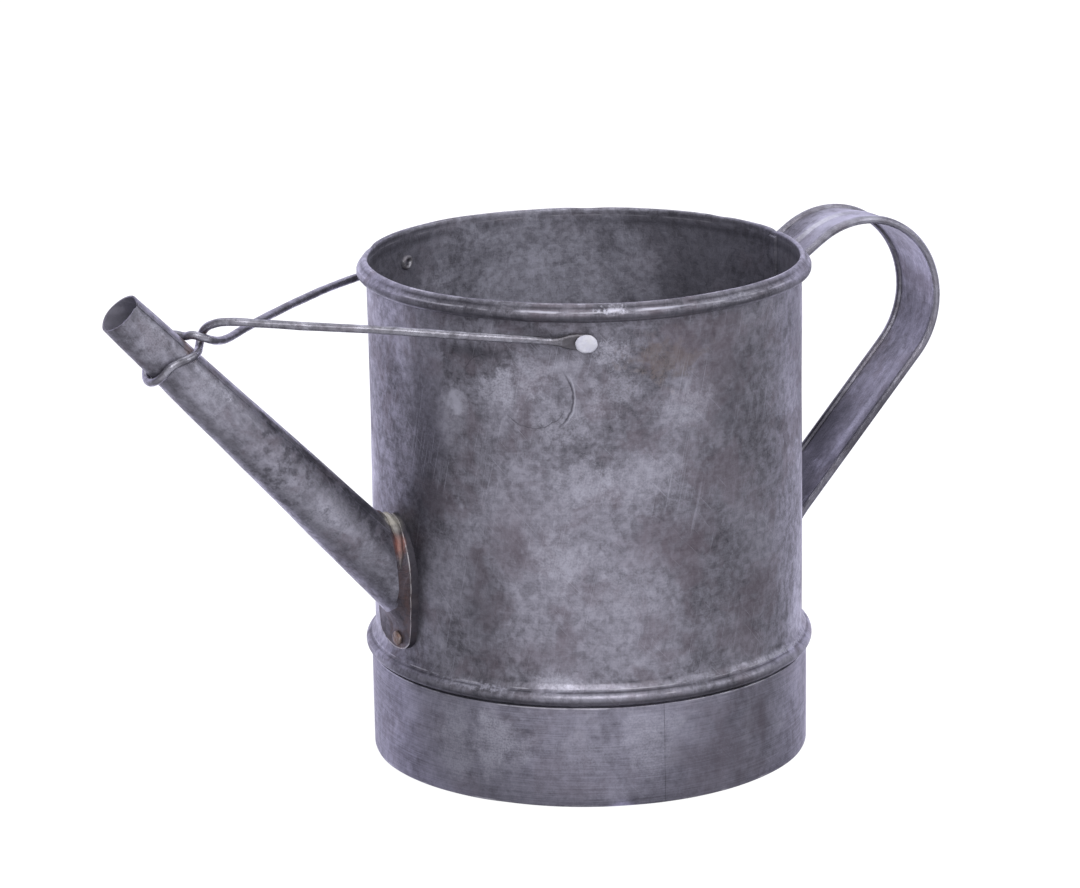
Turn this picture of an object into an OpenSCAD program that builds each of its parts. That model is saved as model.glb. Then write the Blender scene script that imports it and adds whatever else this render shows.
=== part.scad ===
// Galvanised watering can: an open cylindrical pail with a wired rim, a swaged bead over a heavy
// foot hoop, a straight tapering spout with a riveted and soldered saddle, a wire stay that is
// hooked once round the spout and riveted to the wall at both ends, and a strap handle.
// Millimetres. Z is up with the can standing on z = 0, the can's axis is Z, the spout leans
// towards -X and the handle stands out towards +X.

/* [Body] */
// outer diameter of the plain wall
body_d = 160; // [130:1:200]
// height of the rim's fold above the floor
body_h = 186.6; // [160:0.2:240]
// thickness of the body sheet
sheet_t = 0.6; // [0.4:0.05:1.2]
// gap left between pieces that are pressed or riveted together
seat_gap = 0.05; // [0.02:0.01:0.2]

/* [Rim] */
// diameter of the wire rolled into the rim
rim_wire_d = 3; // [2:0.1:5]
// depth of that wire's centre below the fold
rim_drop = 4.4; // [3:0.1:7]
// flat on top of the fold
rim_flat = 0.7; // [0.3:0.1:2]

/* [Bead] */
// height of the bead's centre
bead_z = 41; // [34:0.2:80]
// outer radius of the rolled bead
bead_r = 2.6; // [1.5:0.1:5]
// how far the bead's centre lies outside the wall
bead_out = 1.1; // [0.2:0.1:3]
// height of the shoulder that runs from the bead back to the wall
shoulder_h = 6; // [4:0.2:12]
// radius of the small ridge on that shoulder
ridge_r = 0.7; // [0.3:0.1:1.5]

/* [Foot] */
// height of the foot hoop
hoop_h = 37.6; // [20:0.2:60]
// thickness of the foot hoop
hoop_t = 1.5; // [0.8:0.1:3]
// bearing of the hoop's butt joint, from +X towards +Y
hoop_joint_deg = -99.9; // [-180:0.1:180]
// width of the groove left along the joint
hoop_groove_w = 0.4; // [0.2:0.1:1]
// height of the sheet bottom's underside above the floor
pan_lift = 9.4; // [4:0.2:20]
// height of the wall's lower edge above the floor
wall_lift = 1; // [0.4:0.1:4]
// leg of the solder fillet round the inside of the bottom
pan_fillet = 1.4; // [0.6:0.1:4]

/* [Side seam] */
// bearing of the lock seam inside the wall
seam_deg = -3.3; // [-20:0.1:20]
// width of the seam
seam_w = 6; // [3:0.2:12]
// how far the seam stands proud of the wall inside
seam_t = 0.9; // [0.4:0.1:2]
// depth of the notch the seam leaves in the rim's fold
seam_notch = 0.5; // [0.2:0.1:1.5]

/* [Spout] */
// height at which the spout's axis meets the wall
spout_z = 76; // [60:0.2:120]
// rise of the spout above the horizontal, in degrees
spout_rise = 46.7; // [25:0.1:70]
// length along the axis from the wall to the tip
spout_len = 153.5; // [80:0.5:260]
// outer radius where the axis meets the wall
spout_root_r = 12.5; // [8:0.1:22]
// outer radius at the tip
spout_tip_r = 8.1; // [5:0.1:15]
// thickness of the spout sheet
spout_t = 0.6; // [0.4:0.05:1.2]
// how far the root stands through the wall
spout_inside = 1.8; // [1:0.1:6]
// bearings of the two edges of the lengthwise lap, from the upper side towards +Y
lap_from = -47; // [-90:1:0]
lap_to = -22; // [-80:1:20]
// step of the lap
lap_t = 0.45; // [0.2:0.05:1]

/* [Saddle] */
// thickness of the saddle plate
saddle_t = 0.8; // [0.5:0.1:2]
// margin of the saddle beside the spout
saddle_side = 3.6; // [2:0.2:12]
// margin of the saddle above the spout
saddle_top = 6; // [3:0.2:16]
// length of the tab below the spout that takes the rivet
saddle_tab = 10; // [7:0.2:20]
// half width of that tab's rounded end
saddle_tab_r = 6; // [4:0.2:10]
// reach of the solder fillet from the spout over the saddle
solder_reach = 1.5; // [0.6:0.1:4]
// standing height of the solder fillet off the saddle
solder_rise = 3; // [1:0.1:6]
// drop of the saddle rivet below the lowest point of the spout's root
saddle_rivet_drop = 5.8; // [4:0.1:12]
// sideways offset of the saddle rivet
saddle_rivet_y = -1; // [-3:0.1:3]
// diameter of the saddle rivet's head
saddle_head_d = 5.6; // [4:0.1:9]

/* [Stay] */
// diameter of the stay wire
stay_d = 3; // [2:0.1:5]
// bearing of the stay rivets away from the spout
stay_deg = 61.4; // [30:0.1:85]
// height of the rivet on the -Y side and of the one on the +Y side
stay_z_near = 172.6; // [120:0.2:178]
stay_z_far = 174.4; // [120:0.2:178]
// distance along the spout of the loop
stay_at = 129.2; // [60:0.2:150]
// play between the loop and the spout
stay_play = 0.2; // [0.1:0.05:1]
// inner bend radius of the stay's corners, to the wire's centre
stay_bend_r = 3; // [2:0.1:6]
// thickness and radius of the flattened eyelets
eyelet_t = 1.2; // [0.8:0.1:2]
eyelet_r = 5.2; // [4:0.1:8]
// diameter and height of the rivet heads
stay_head_d = 8.2; // [5:0.1:12]
stay_head_h = 1.9; // [1:0.1:4]

/* [Handle] */
// width of the strap
strap_w = 28; // [16:0.5:45]
// thickness of the strap
strap_t = 0.9; // [0.6:0.05:2]
// diameter of the rolled edges
roll_d = 3.2; // [2:0.1:5]
// width and height of the ridge along the middle
ridge_w = 6; // [3:0.2:12]
ridge_h = 0.7; // [0.3:0.1:2]
// length of the upper tab on the wall, and height of its lower end
tab_up_len = 16; // [10:0.5:30]
tab_up_z = 150; // [120:0.5:160]
// radius and turn of the bend off the wall
bend_off_r = 12; // [6:0.5:30]
bend_off_deg = 57; // [30:1:80]
// straight run from that bend to the grip
run_out = 11.5; // [4:0.5:40]
// radius of the grip's upper bow
bow_r = 33.4; // [20:0.2:60]
// radius and turn of the lower bow
heel_r = 31.8; // [15:0.2:60]
heel_deg = 43.2; // [25:0.2:65]
// radius of the bend back onto the wall
bend_on_r = 26; // [8:0.5:50]
// length of the lower tab
tab_low_len = 12; // [8:0.5:30]
// half spacing of each pair of handle rivets
grip_rivet_y = 10.2; // [6:0.1:12]
// diameter of the handle rivets' heads
grip_head_d = 5.4; // [4:0.1:8]

/* [Rivets] */
// shank of the rivets
shank_d = 3.6; // [2.4:0.1:5]
// diameter and height of the clenched tails inside
tail_d = 5.2; // [4:0.1:8]
tail_h = 1; // [0.5:0.1:2]

/* [Hidden] */
$fn = 96;
big = 600;
body_r = body_d / 2;
wall_in = body_r - sheet_t;
rim_wire_x = body_r + rim_wire_d / 2 + seat_gap;
rim_wire_z = body_h - rim_drop;
hem_r = rim_wire_d / 2 + seat_gap + sheet_t;
hoop_in = body_r + seat_gap;
hoop_out = hoop_in + hoop_t;
pan_out = wall_in - seat_gap;
pan_in = pan_out - sheet_t;
rise_c = cos(spout_rise);
root_half = spout_root_r / rise_c;
taper = (spout_root_r - spout_tip_r) / spout_len;
root_s = -30;
root_ext_r = spout_root_r - taper * root_s;
saddle_in = body_r + seat_gap;
saddle_out = saddle_in + saddle_t;
saddle_rivet_z = spout_z - root_half - saddle_rivet_drop;
stay_face = body_r + seat_gap;
stay_r = stay_d / 2;
// A run lodges in the next by this length, and is this much smaller all round.
lodge = 0.3;
step = 0.03;
loop_r = spout_root_r - taper * stay_at + stay_play + stay_r;
strap_x = body_r + seat_gap + strap_t / 2 - 0.2;
tail_face = wall_in - 0.1;
grip_rivet_deg = asin(grip_rivet_y / body_r);
bow_deg = 180 - bend_off_deg;
// The grip's runs, each from a point and a heading: [x, z, heading in degrees].
p0 = [strap_x, tab_up_z, 90];
p1 = ahead(p0, tab_up_len);
p2 = turned(p1, bend_off_r, -bend_off_deg);
p3 = ahead(p2, run_out);
p4 = turned(p3, bow_r, -bow_deg);
p5 = turned(p4, heel_r, -heel_deg);
slope_run = (p5[0] - strap_x - bend_on_r * (1 - cos(heel_deg))) / sin(heel_deg);
p6 = ahead(p5, slope_run);
p7 = turned(p6, bend_on_r, heel_deg);
p8 = ahead(p7, tab_low_len);
grip_up_z = tab_up_z + 6.5;
grip_low_z = p8[1] + 5.5;

// Where a walker at p = [x, z, heading] stands after a straight run.
function ahead(p, len) = [p[0] + len * cos(p[2]), p[1] + len * sin(p[2]), p[2]];
// Where the walker stands after a bend of radius r through a signed turn.
function turned(p, r, turn) =
    let (s = sign(turn), c = hub(p, r, turn), h = p[2] + turn)
    [c[0] + s * r * sin(h), c[1] - s * r * cos(h), h];
// The centre of that bend.
function hub(p, r, turn) =
    let (s = sign(turn)) [p[0] - s * r * sin(p[2]), p[1] + s * r * cos(p[2])];
// A point of the stay's hook, from the spout's own frame: u above its axis, v towards +Y, s along.
function by_spout(u, v, s) =
    [-body_r - s * rise_c + u * sin(spout_rise), v, spout_z + s * sin(spout_rise) + u * rise_c];
// A point of the stay's loop at a bearing from the spout's upper side.
function on_loop(a) = by_spout(loop_r * cos(a), loop_r * sin(a), stay_at);
// The loop's direction there, towards growing bearings, over a length.
function on_tangent(a, len) = (by_spout(-sin(a), cos(a), 0) - by_spout(0, 0, 0)) * len;
// The start of a leg of the stay on its eyelet, beside the rivet's head.
function leg_start(side, z) =
    let (t = eyelet_r - 0.6, r = stay_face + stay_r + 0.2, a = 180 + side * stay_deg)
    [r * cos(a) + side * t * sin(a), r * sin(a) - side * t * cos(a), z];
function unit(v) = v / norm(v);

module on_wall(deg, z, r = 0) {
    rotate([0, 0, deg]) translate([r, 0, z]) rotate([0, 90, 0]) children();
}

module rivet(deg, z, side, face, head_d, head_h, bore) {
    cap_r = (head_d * head_d / 4 + head_h * head_h) / (2 * head_h);
    rotate([0, 0, deg]) translate([0, side, z]) rotate([0, 90, 0]) difference() {
        union() {
            translate([0, 0, tail_face - tail_h]) cylinder(d = tail_d, h = tail_h);
            translate([0, 0, tail_face - 0.1]) cylinder(d = shank_d, h = face - tail_face + 0.2);
            translate([0, 0, face]) intersection() {
                translate([0, 0, head_h - cap_r]) sphere(cap_r);
                cylinder(d = head_d, h = head_h);
            }
        }
        translate([0, 0, tail_face - tail_h - 1]) cylinder(d = bore, h = tail_h + 1.6);
    }
}

module spout_frame() {
    translate([-body_r, 0, spout_z]) rotate([0, spout_rise - 90, 0]) children();
}

module spout_cone(grow = 0, top = 0) {
    spout_frame() translate([0, 0, root_s])
        cylinder(r1 = root_ext_r + grow, r2 = spout_tip_r + grow - taper * top,
                 h = spout_len - root_s + top);
}

module body_shell() {
    color([0.52, 0.52, 0.56]) difference() {
        union() {
            rotate_extrude() body_section();
            seam();
        }
        rotate_extrude() bead_hollow();
        spout_cone(seat_gap, 1);
        on_wall(180 - stay_deg, stay_z_far) cylinder(d = shank_d + 2 * seat_gap, h = big);
        on_wall(180 + stay_deg, stay_z_near) cylinder(d = shank_d + 2 * seat_gap, h = big);
        translate([0, saddle_rivet_y, 0]) on_wall(180, saddle_rivet_z)
            cylinder(d = shank_d + 2 * seat_gap, h = big);
        for (a = [-grip_rivet_deg, grip_rivet_deg]) for (z = [grip_low_z, grip_up_z])
            on_wall(a, z) cylinder(d = shank_d + 2 * seat_gap, h = big);
        rotate([0, 0, seam_deg]) translate([wall_in - 1, -seam_w / 2, body_h - seam_notch])
            cube([8, 0.6, 4]);
    }
}

// Half of the wall's section: sheet, rolled rim and bead, right of the axis.
module body_section() {
    tip = 35;
    difference() {
        union() {
            translate([wall_in, wall_lift]) square([sheet_t, body_h - wall_lift - rim_flat]);
            translate([rim_wire_x, rim_wire_z]) circle(hem_r);
            polygon([
                [wall_in, rim_wire_z - hem_r], [wall_in, body_h - 0.5], [wall_in + 0.5, body_h],
                [wall_in + 0.5 + rim_flat, body_h],
                [rim_wire_x + hem_r * cos(tip), rim_wire_z + hem_r * sin(tip)],
                [rim_wire_x, rim_wire_z - hem_r + 0.02]
            ]);
            translate([body_r + bead_out, bead_z]) circle(bead_r);
            polygon([
                [body_r - 0.1, bead_z], [body_r + bead_out + bead_r * 0.6, bead_z + bead_r * 0.8],
                [body_r + ridge_r, bead_z + shoulder_h * 0.62], [body_r, bead_z + shoulder_h],
                [body_r - 0.1, bead_z + shoulder_h]
            ]);
            translate([body_r + ridge_r * 0.75, bead_z + shoulder_h * 0.58]) circle(ridge_r);
        }
        translate([rim_wire_x, rim_wire_z]) circle(rim_wire_d / 2 + seat_gap);
        translate([-big, -big]) square([big + wall_in, 2 * big]);
    }
}

module bead_hollow() {
    translate([body_r + bead_out, bead_z]) circle(bead_r - sheet_t);
}

module seam() {
    rotate([0, 0, seam_deg]) intersection() {
        difference() {
            cylinder(r = wall_in + 0.2, h = body_h - 1.2);
            translate([0, 0, -1]) cylinder(r = wall_in - seam_t, h = body_h + 2);
            cylinder(r = big, h = pan_lift + sheet_t + pan_fillet + 0.4);
        }
        translate([wall_in - 10, -seam_w / 2, 0]) cube([12, seam_w, body_h]);
    }
}

module rim_wire() {
    color([0.45, 0.42, 0.42]) rotate_extrude()
        translate([rim_wire_x, rim_wire_z]) circle(rim_wire_d / 2);
}

module foot_hoop() {
    soft = 0.4;
    color([0.5, 0.5, 0.54]) difference() {
        rotate_extrude() polygon([
            [hoop_in, 0], [hoop_out - soft, 0], [hoop_out, soft], [hoop_out, hoop_h - soft],
            [hoop_out - soft, hoop_h], [hoop_in, hoop_h]
        ]);
        rotate([0, 0, hoop_joint_deg])
            translate([hoop_out - hoop_t / 3, -hoop_groove_w / 2, hoop_h * 0.35])
            cube([hoop_t, hoop_groove_w, hoop_h * 0.55]);
    }
}

module bottom_pan() {
    color([0.48, 0.48, 0.5]) difference() {
        cylinder(r = pan_out, h = pan_lift + sheet_t);
        translate([0, 0, -1]) cylinder(r = pan_in, h = pan_lift + 1);
    }
}

module bottom_solder() {
    foot = pan_lift + sheet_t + seat_gap;
    color([0.62, 0.62, 0.6]) rotate_extrude() polygon([
        [wall_in - seat_gap, foot], [wall_in - seat_gap, foot + pan_fillet],
        [wall_in - pan_fillet * 0.45, foot + pan_fillet * 0.45],
        [wall_in - pan_fillet, foot]
    ]);
}

module spout_tube() {
    color([0.5, 0.5, 0.54]) difference() {
        union() {
            spout_cone(0);
            intersection() {
                spout_cone(lap_t);
                spout_frame() linear_extrude(spout_len - 0.8) polygon([
                    [0, 0], [40 * cos(lap_from), 40 * sin(lap_from)],
                    [40 * cos(lap_to), 40 * sin(lap_to)]
                ]);
                difference() {
                    translate([-big, -big, 0]) cube(2 * big);
                    cylinder(r = saddle_out + solder_rise + 0.4, h = big);
                }
            }
        }
        spout_cone(-spout_t, 1);
        translate([0, 0, -1]) cylinder(r = body_r - spout_inside, h = big);
    }
}

// A piece of the saddle's outline, carried along the wall's normal through the spout's root.
module through_wall() {
    translate([0, 0, spout_z]) rotate([90, 0, -90]) linear_extrude(big) children();
}

module spout_saddle() {
    half = spout_root_r + saddle_side;
    crown = root_half + saddle_top;
    low = -root_half - saddle_tab + saddle_tab_r;
    color([0.46, 0.44, 0.46]) difference() {
        intersection() {
            union() {
                intersection() {
                    through_wall() translate([half - crown, 0]) circle(crown);
                    through_wall() translate([crown - half, 0]) circle(crown);
                    through_wall() translate([-half, -crown * 0.62]) square([2 * half, crown * 2]);
                }
                through_wall() polygon([
                    [-half * 0.9, -crown * 0.4], [half * 0.9, -crown * 0.4],
                    [saddle_tab_r * 0.97, low - saddle_tab_r * 0.1],
                    [-saddle_tab_r * 0.97, low - saddle_tab_r * 0.1]
                ]);
                through_wall() translate([0, low]) circle(saddle_tab_r);
            }
            cylinder(r = saddle_out, h = body_h);
        }
        translate([0, 0, -1]) cylinder(r = saddle_in, h = body_h + 2);
        spout_cone(seat_gap, 1);
        translate([0, saddle_rivet_y, 0]) on_wall(180, saddle_rivet_z)
            cylinder(d = shank_d + 2 * seat_gap, h = big);
    }
}

module saddle_solder() {
    color([0.62, 0.63, 0.58]) difference() {
        union() for (k = [1:3]) intersection() {
            spout_cone(solder_reach * k / 3 + seat_gap);
            translate([-big, -big, spout_z - 50]) cube([2 * big - 200, 2 * big, 100]);
            cylinder(r = saddle_out + seat_gap + solder_rise * (4 - k) / 4, h = body_h);
        }
        translate([0, 0, -1]) cylinder(r = saddle_out + seat_gap, h = body_h + 2);
        spout_cone(seat_gap, 1);
    }
}

module saddle_rivet() {
    color([0.42, 0.33, 0.29])
        rivet(180, saddle_rivet_z, -saddle_rivet_y, saddle_out + seat_gap, saddle_head_d, 1.5, 1.4);
}

// One straight stretch of the wire, a hair thinner than the bends that its ends lodge in.
module wire_straight(a, b) {
    d = b - a;
    translate(a - unit(d) * lodge) rotate([0, acos(d[2] / norm(d)), atan2(d[1], d[0])])
        cylinder(r = stay_r - step, h = norm(d) + 2 * lodge);
}

// One bend of the wire at point p, from direction a to direction b.
module wire_bend(p, a, b) {
    turn = acos(a * b);
    n = (b - a * (a * b)) / sin(turn);
    c = p - a * stay_bend_r * tan(turn / 2) + n * stay_bend_r;
    z = cross(-n, a);
    multmatrix([[-n[0], a[0], z[0], c[0]], [-n[1], a[1], z[1], c[1]], [-n[2], a[2], z[2], c[2]]])
        rotate_extrude(angle = turn) translate([stay_bend_r, 0]) circle(stay_r);
}

// The wire through a list of points from number i on; start is where the last bend left it.
module wire_run(path, i = 0, start = undef) {
    from = is_undef(start) ? path[i] : start;
    a = unit(path[i + 1] - path[i]);
    if (i == len(path) - 2) {
        wire_straight(from, path[i + 1]);
    } else {
        b = unit(path[i + 2] - path[i + 1]);
        reach = stay_bend_r * tan(acos(a * b) / 2);
        union() {
            union() {
                wire_straight(from, path[i + 1] - a * reach);
                wire_bend(path[i + 1], a, b);
            }
            wire_run(path, i + 1, path[i + 1] + b * reach);
        }
    }
}

module stay_wire() {
    // The hook: one end drops over the other, the other passes outside and under it.
    drop = [
        leg_start(1, stay_z_near), by_spout(22.6, -7, 124.9), by_spout(18, -1.2, 125.2),
        by_spout(12.5, -1.4, 122.2), by_spout(7.5, -9.9, 124.2),
        on_loop(-100) + on_tangent(-100, 3.4), on_loop(-100)
    ];
    pass = [
        on_loop(45), on_loop(45) - on_tangent(45, 4.4), by_spout(13, -4.4, 127.4),
        by_spout(15.4, -4.4, 120.6), by_spout(20.4, 3.6, 113), leg_start(-1, stay_z_far)
    ];
    // The loop's arc runs under the spout, from its -Y side to the pass.
    color([0.5, 0.5, 0.53]) union() {
        difference() {
            union() {
                eyelet(1, stay_z_near);
                wire_run(drop);
            }
            eyelet_hole(1, stay_z_near);
        }
        union() {
            spout_frame() translate([0, 0, stay_at]) rotate([0, 0, 45])
                rotate_extrude(angle = 215) translate([loop_r, 0]) circle(stay_r);
            difference() {
                union() {
                    eyelet(-1, stay_z_far);
                    wire_run(pass);
                }
                eyelet_hole(-1, stay_z_far);
            }
        }
    }
}

module eyelet(side, z) {
    on_wall(180 + side * stay_deg, z, stay_face) cylinder(r = eyelet_r, h = eyelet_t);
}

module eyelet_hole(side, z) {
    on_wall(180 + side * stay_deg, z, stay_face - 1)
        cylinder(d = shank_d + 2 * seat_gap, h = eyelet_t + 2);
}

module stay_rivets() {
    color([0.78, 0.78, 0.82]) for (e = [[1, stay_z_near], [-1, stay_z_far]])
        rivet(180 + e[0] * stay_deg, e[1], 0, stay_face + eyelet_t + seat_gap,
              stay_head_d, stay_head_h, 2);
}

// The strap's section: y is its width, side says which face of x carries the ridge, and less
// is what it lacks all round.
module strap_section(side, less) {
    h = strap_t / 2 - less;
    r = roll_d / 2 - less;
    f = (strap_w - roll_d) / 2;
    g = 180 - asin(h / r);
    top = h + ridge_h;
    steps = 10;
    polygon(concat(
        [for (i = [0:steps]) let (a = g - 2 * g * i / steps) [side * r * sin(a), f + r * cos(a)]],
        [
            [-side * h, ridge_w / 2 - less], [-side * top, ridge_w / 6 - less],
            [-side * top, less - ridge_w / 6], [-side * h, less - ridge_w / 2]
        ],
        [for (i = [0:steps]) let (a = 2 * g * i / steps - g) [side * r * sin(a), -f - r * cos(a)]]
    ));
}

// A straight run of the strap from p, lodged in its neighbours at both ends.
module straight(p, len, less) {
    translate([p[0], 0, p[1]]) rotate([0, 90 - p[2], 0]) translate([0, 0, -2 * lodge])
        linear_extrude(len + 4 * lodge) strap_section(1, less);
}

// A bend of the strap from p, begun early by a few degrees where it lodges in the last one.
module bend(p, r, turn, less = 0, early = 0) {
    s = sign(turn);
    c = hub(p, r, turn);
    a0 = p[2] - s * (90 + early);
    sweep = abs(turn) + early;
    translate([c[0], 0, c[1]]) rotate([90, 0, 0]) rotate([0, 0, s > 0 ? a0 : a0 - sweep])
        rotate_extrude(angle = sweep) translate([r, 0]) strap_section(s, less);
}

// A tab that lies round the wall, from z0 up to z1.
module wall_tab(z0, z1) {
    tab_w = strap_w - roll_d / 4;
    translate([0, 0, z0]) intersection() {
        difference() {
            cylinder(r = body_r + seat_gap + strap_t, h = z1 - z0);
            translate([0, 0, -1]) cylinder(r = body_r + seat_gap, h = z1 - z0 + 2);
        }
        translate([0, -tab_w / 2, 0]) cube([big, tab_w, z1 - z0]);
    }
}

module handle_strap() {
    color([0.52, 0.52, 0.55]) difference() {
        union() {
            union() {
                union() {
                    wall_tab(p0[1], p1[1] + 0.4);
                    bend(p1, bend_off_r, -bend_off_deg, 0, 3);
                }
                union() {
                    straight(p2, run_out, step);
                    bend(p3, bow_r, -bow_deg);
                }
            }
            union() {
                union() {
                    bend(p4, heel_r, -heel_deg, step, 1.5);
                    straight(p5, slope_run, 2 * step);
                }
                union() {
                    bend(p6, bend_on_r, heel_deg);
                    wall_tab(p8[1], p7[1] + 0.8);
                }
            }
        }
        cylinder(r = body_r + seat_gap, h = body_h);
        for (a = [-grip_rivet_deg, grip_rivet_deg]) for (z = [grip_low_z, grip_up_z])
            on_wall(a, z) cylinder(d = shank_d + 2 * seat_gap, h = body_r + 6);
    }
}

module handle_rivets() {
    color([0.5, 0.47, 0.45]) for (a = [-grip_rivet_deg, grip_rivet_deg])
        for (z = [grip_low_z, grip_up_z])
            rivet(a, z, 0, body_r + seat_gap + strap_t + seat_gap, grip_head_d, 1.3, 1.4);
}

body_shell();
rim_wire();
foot_hoop();
bottom_pan();
bottom_solder();
spout_tube();
spout_saddle();
saddle_solder();
saddle_rivet();
stay_wire();
stay_rivets();
handle_strap();
handle_rivets();
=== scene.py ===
"""A small galvanised watering can that has stood outdoors for years, set in a white studio.

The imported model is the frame. The sheet and wire pieces whose real surface is bent, dented or
uneven are modelled again here in their own places, and every piece gets an old zinc finish.
"""

import logging
import math
from dataclasses import dataclass
from enum import Enum
from functools import reduce
from typing import Any, Callable, Sequence

import bmesh
import bpy
from mathutils import Matrix, Vector

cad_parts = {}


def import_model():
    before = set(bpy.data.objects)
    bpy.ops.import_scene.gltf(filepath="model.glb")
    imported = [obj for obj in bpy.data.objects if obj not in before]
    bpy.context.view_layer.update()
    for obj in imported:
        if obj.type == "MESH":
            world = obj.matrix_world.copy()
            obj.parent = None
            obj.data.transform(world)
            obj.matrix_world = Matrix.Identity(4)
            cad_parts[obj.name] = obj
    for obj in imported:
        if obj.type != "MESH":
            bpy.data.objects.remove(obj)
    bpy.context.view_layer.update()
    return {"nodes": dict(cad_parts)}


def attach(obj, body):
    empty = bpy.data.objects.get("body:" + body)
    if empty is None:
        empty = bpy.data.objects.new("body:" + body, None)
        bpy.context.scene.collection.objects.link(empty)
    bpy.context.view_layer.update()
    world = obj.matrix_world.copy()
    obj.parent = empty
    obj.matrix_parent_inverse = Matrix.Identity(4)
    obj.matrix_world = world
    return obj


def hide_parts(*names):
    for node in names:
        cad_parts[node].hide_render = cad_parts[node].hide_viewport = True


log = logging.getLogger("watering_can")

MM = 0.001
CLOSE_REACH = 0.002 * MM  # nearer than this, two vertices of a fine ring are one
HALVINGS = 40
Colour = tuple[float, float, float]
Point = tuple[float, float, float]


# ---------------------------------------------------------------- node graphs


class Graph:
    """Adds nodes to one node tree with short calls."""

    def __init__(self, tree: bpy.types.NodeTree) -> None:
        """Keeps the tree.

        Args:
            tree: the material's, world's or group's node tree.
        """
        self.tree = tree

    def add(self, kind: str, inputs: dict[Any, Any] | None = None, **settings: Any) -> Any:
        """Adds a node, sets its options and fills or links its inputs.

        Args:
            kind: the node's type, without the ShaderNode in front.
            inputs: socket name or number to a value or to another node's output.
            settings: the node's own options.

        Returns:
            The new node.
        """
        node = self.tree.nodes.new(kind if kind.startswith("Node") else "ShaderNode" + kind)
        for name, value in settings.items():
            setattr(node, name, value)
        for key, value in (inputs or {}).items():
            socket = node.inputs[key]
            if isinstance(value, bpy.types.NodeSocket):
                self.tree.links.new(value, socket)
            elif socket.type == "RGBA" and len(value) == 3:
                socket.default_value = (*value, 1.0)
            else:
                socket.default_value = value
        return node

    def math(self, operation: str, a: Any, b: Any = 0.0, c: Any = 0.0, clamp: bool = False) -> Any:
        """Adds a Math node and returns its output."""
        inputs = {0: a, 1: b, 2: c}
        return self.add("Math", inputs, operation=operation, use_clamp=clamp).outputs[0]

    def vector_math(self, operation: str, a: Any, b: Any = (0.0, 0.0, 0.0)) -> Any:
        """Adds a Vector Math node and returns its vector, or its number for a length or dot product."""
        node = self.add("VectorMath", {0: a, 1: b}, operation=operation)
        return node.outputs["Value" if operation in ("LENGTH", "DOT_PRODUCT") else "Vector"]

    def ramp(self, value: Any, low: Any, high: Any, start: float = 0.0, end: float = 1.0) -> Any:
        """Maps low..high to start..end smoothly, and returns the output."""
        inputs = {"Value": value, 1: low, 2: high, 3: start, 4: end}
        return self.add("MapRange", inputs, interpolation_type="SMOOTHSTEP").outputs[0]

    def mix(self, factor: Any, a: Any, b: Any) -> Any:
        """Mixes two colours and returns the output."""
        return self.add("Mix", {0: factor, 6: a, 7: b}, data_type="RGBA", blend_type="MIX").outputs[2]

    def noise(self, vector: Any, scale: float, detail: float, rough: float = 0.55) -> Any:
        """Adds a noise texture and returns its value."""
        inputs = {"Vector": vector, "Scale": scale, "Detail": detail, "Roughness": rough}
        return self.add("TexNoise", inputs).outputs[0]


class Group(Graph):
    """A shader node group with a vector and other named inputs, and one output."""

    def __init__(self, name: str, output: str, **defaults: float | None) -> None:
        """Starts the group.

        Args:
            name: the group's name.
            output: what it puts out, "Color" or "Float".
            defaults: each further input's default number, or None where it is a vector.
        """
        super().__init__(bpy.data.node_groups.new(name, "ShaderNodeTree"))
        sockets = self.tree.interface
        for key, value in {"vector": None, **defaults}.items():
            kind = "NodeSocketVector" if value is None else "NodeSocketFloat"
            socket = sockets.new_socket(key.capitalize(), in_out="INPUT", socket_type=kind)
            if value is not None:
                socket.default_value = value
        sockets.new_socket("Out", in_out="OUTPUT", socket_type="NodeSocket" + output)
        self.got = self.add("NodeGroupInput").outputs

    def put(self, value: Any) -> Any:
        """Puts a value out of the group and returns the finished tree."""
        self.tree.links.new(value, self.add("NodeGroupOutput").inputs[0])
        return self.tree


def fresh_graph(owner: Any) -> Graph:
    """Empties a material's or a world's node tree and returns its graph."""
    owner.use_nodes = True
    owner.node_tree.nodes.clear()
    return Graph(owner.node_tree)


# ---------------------------------------------------------------- shared effects


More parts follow.
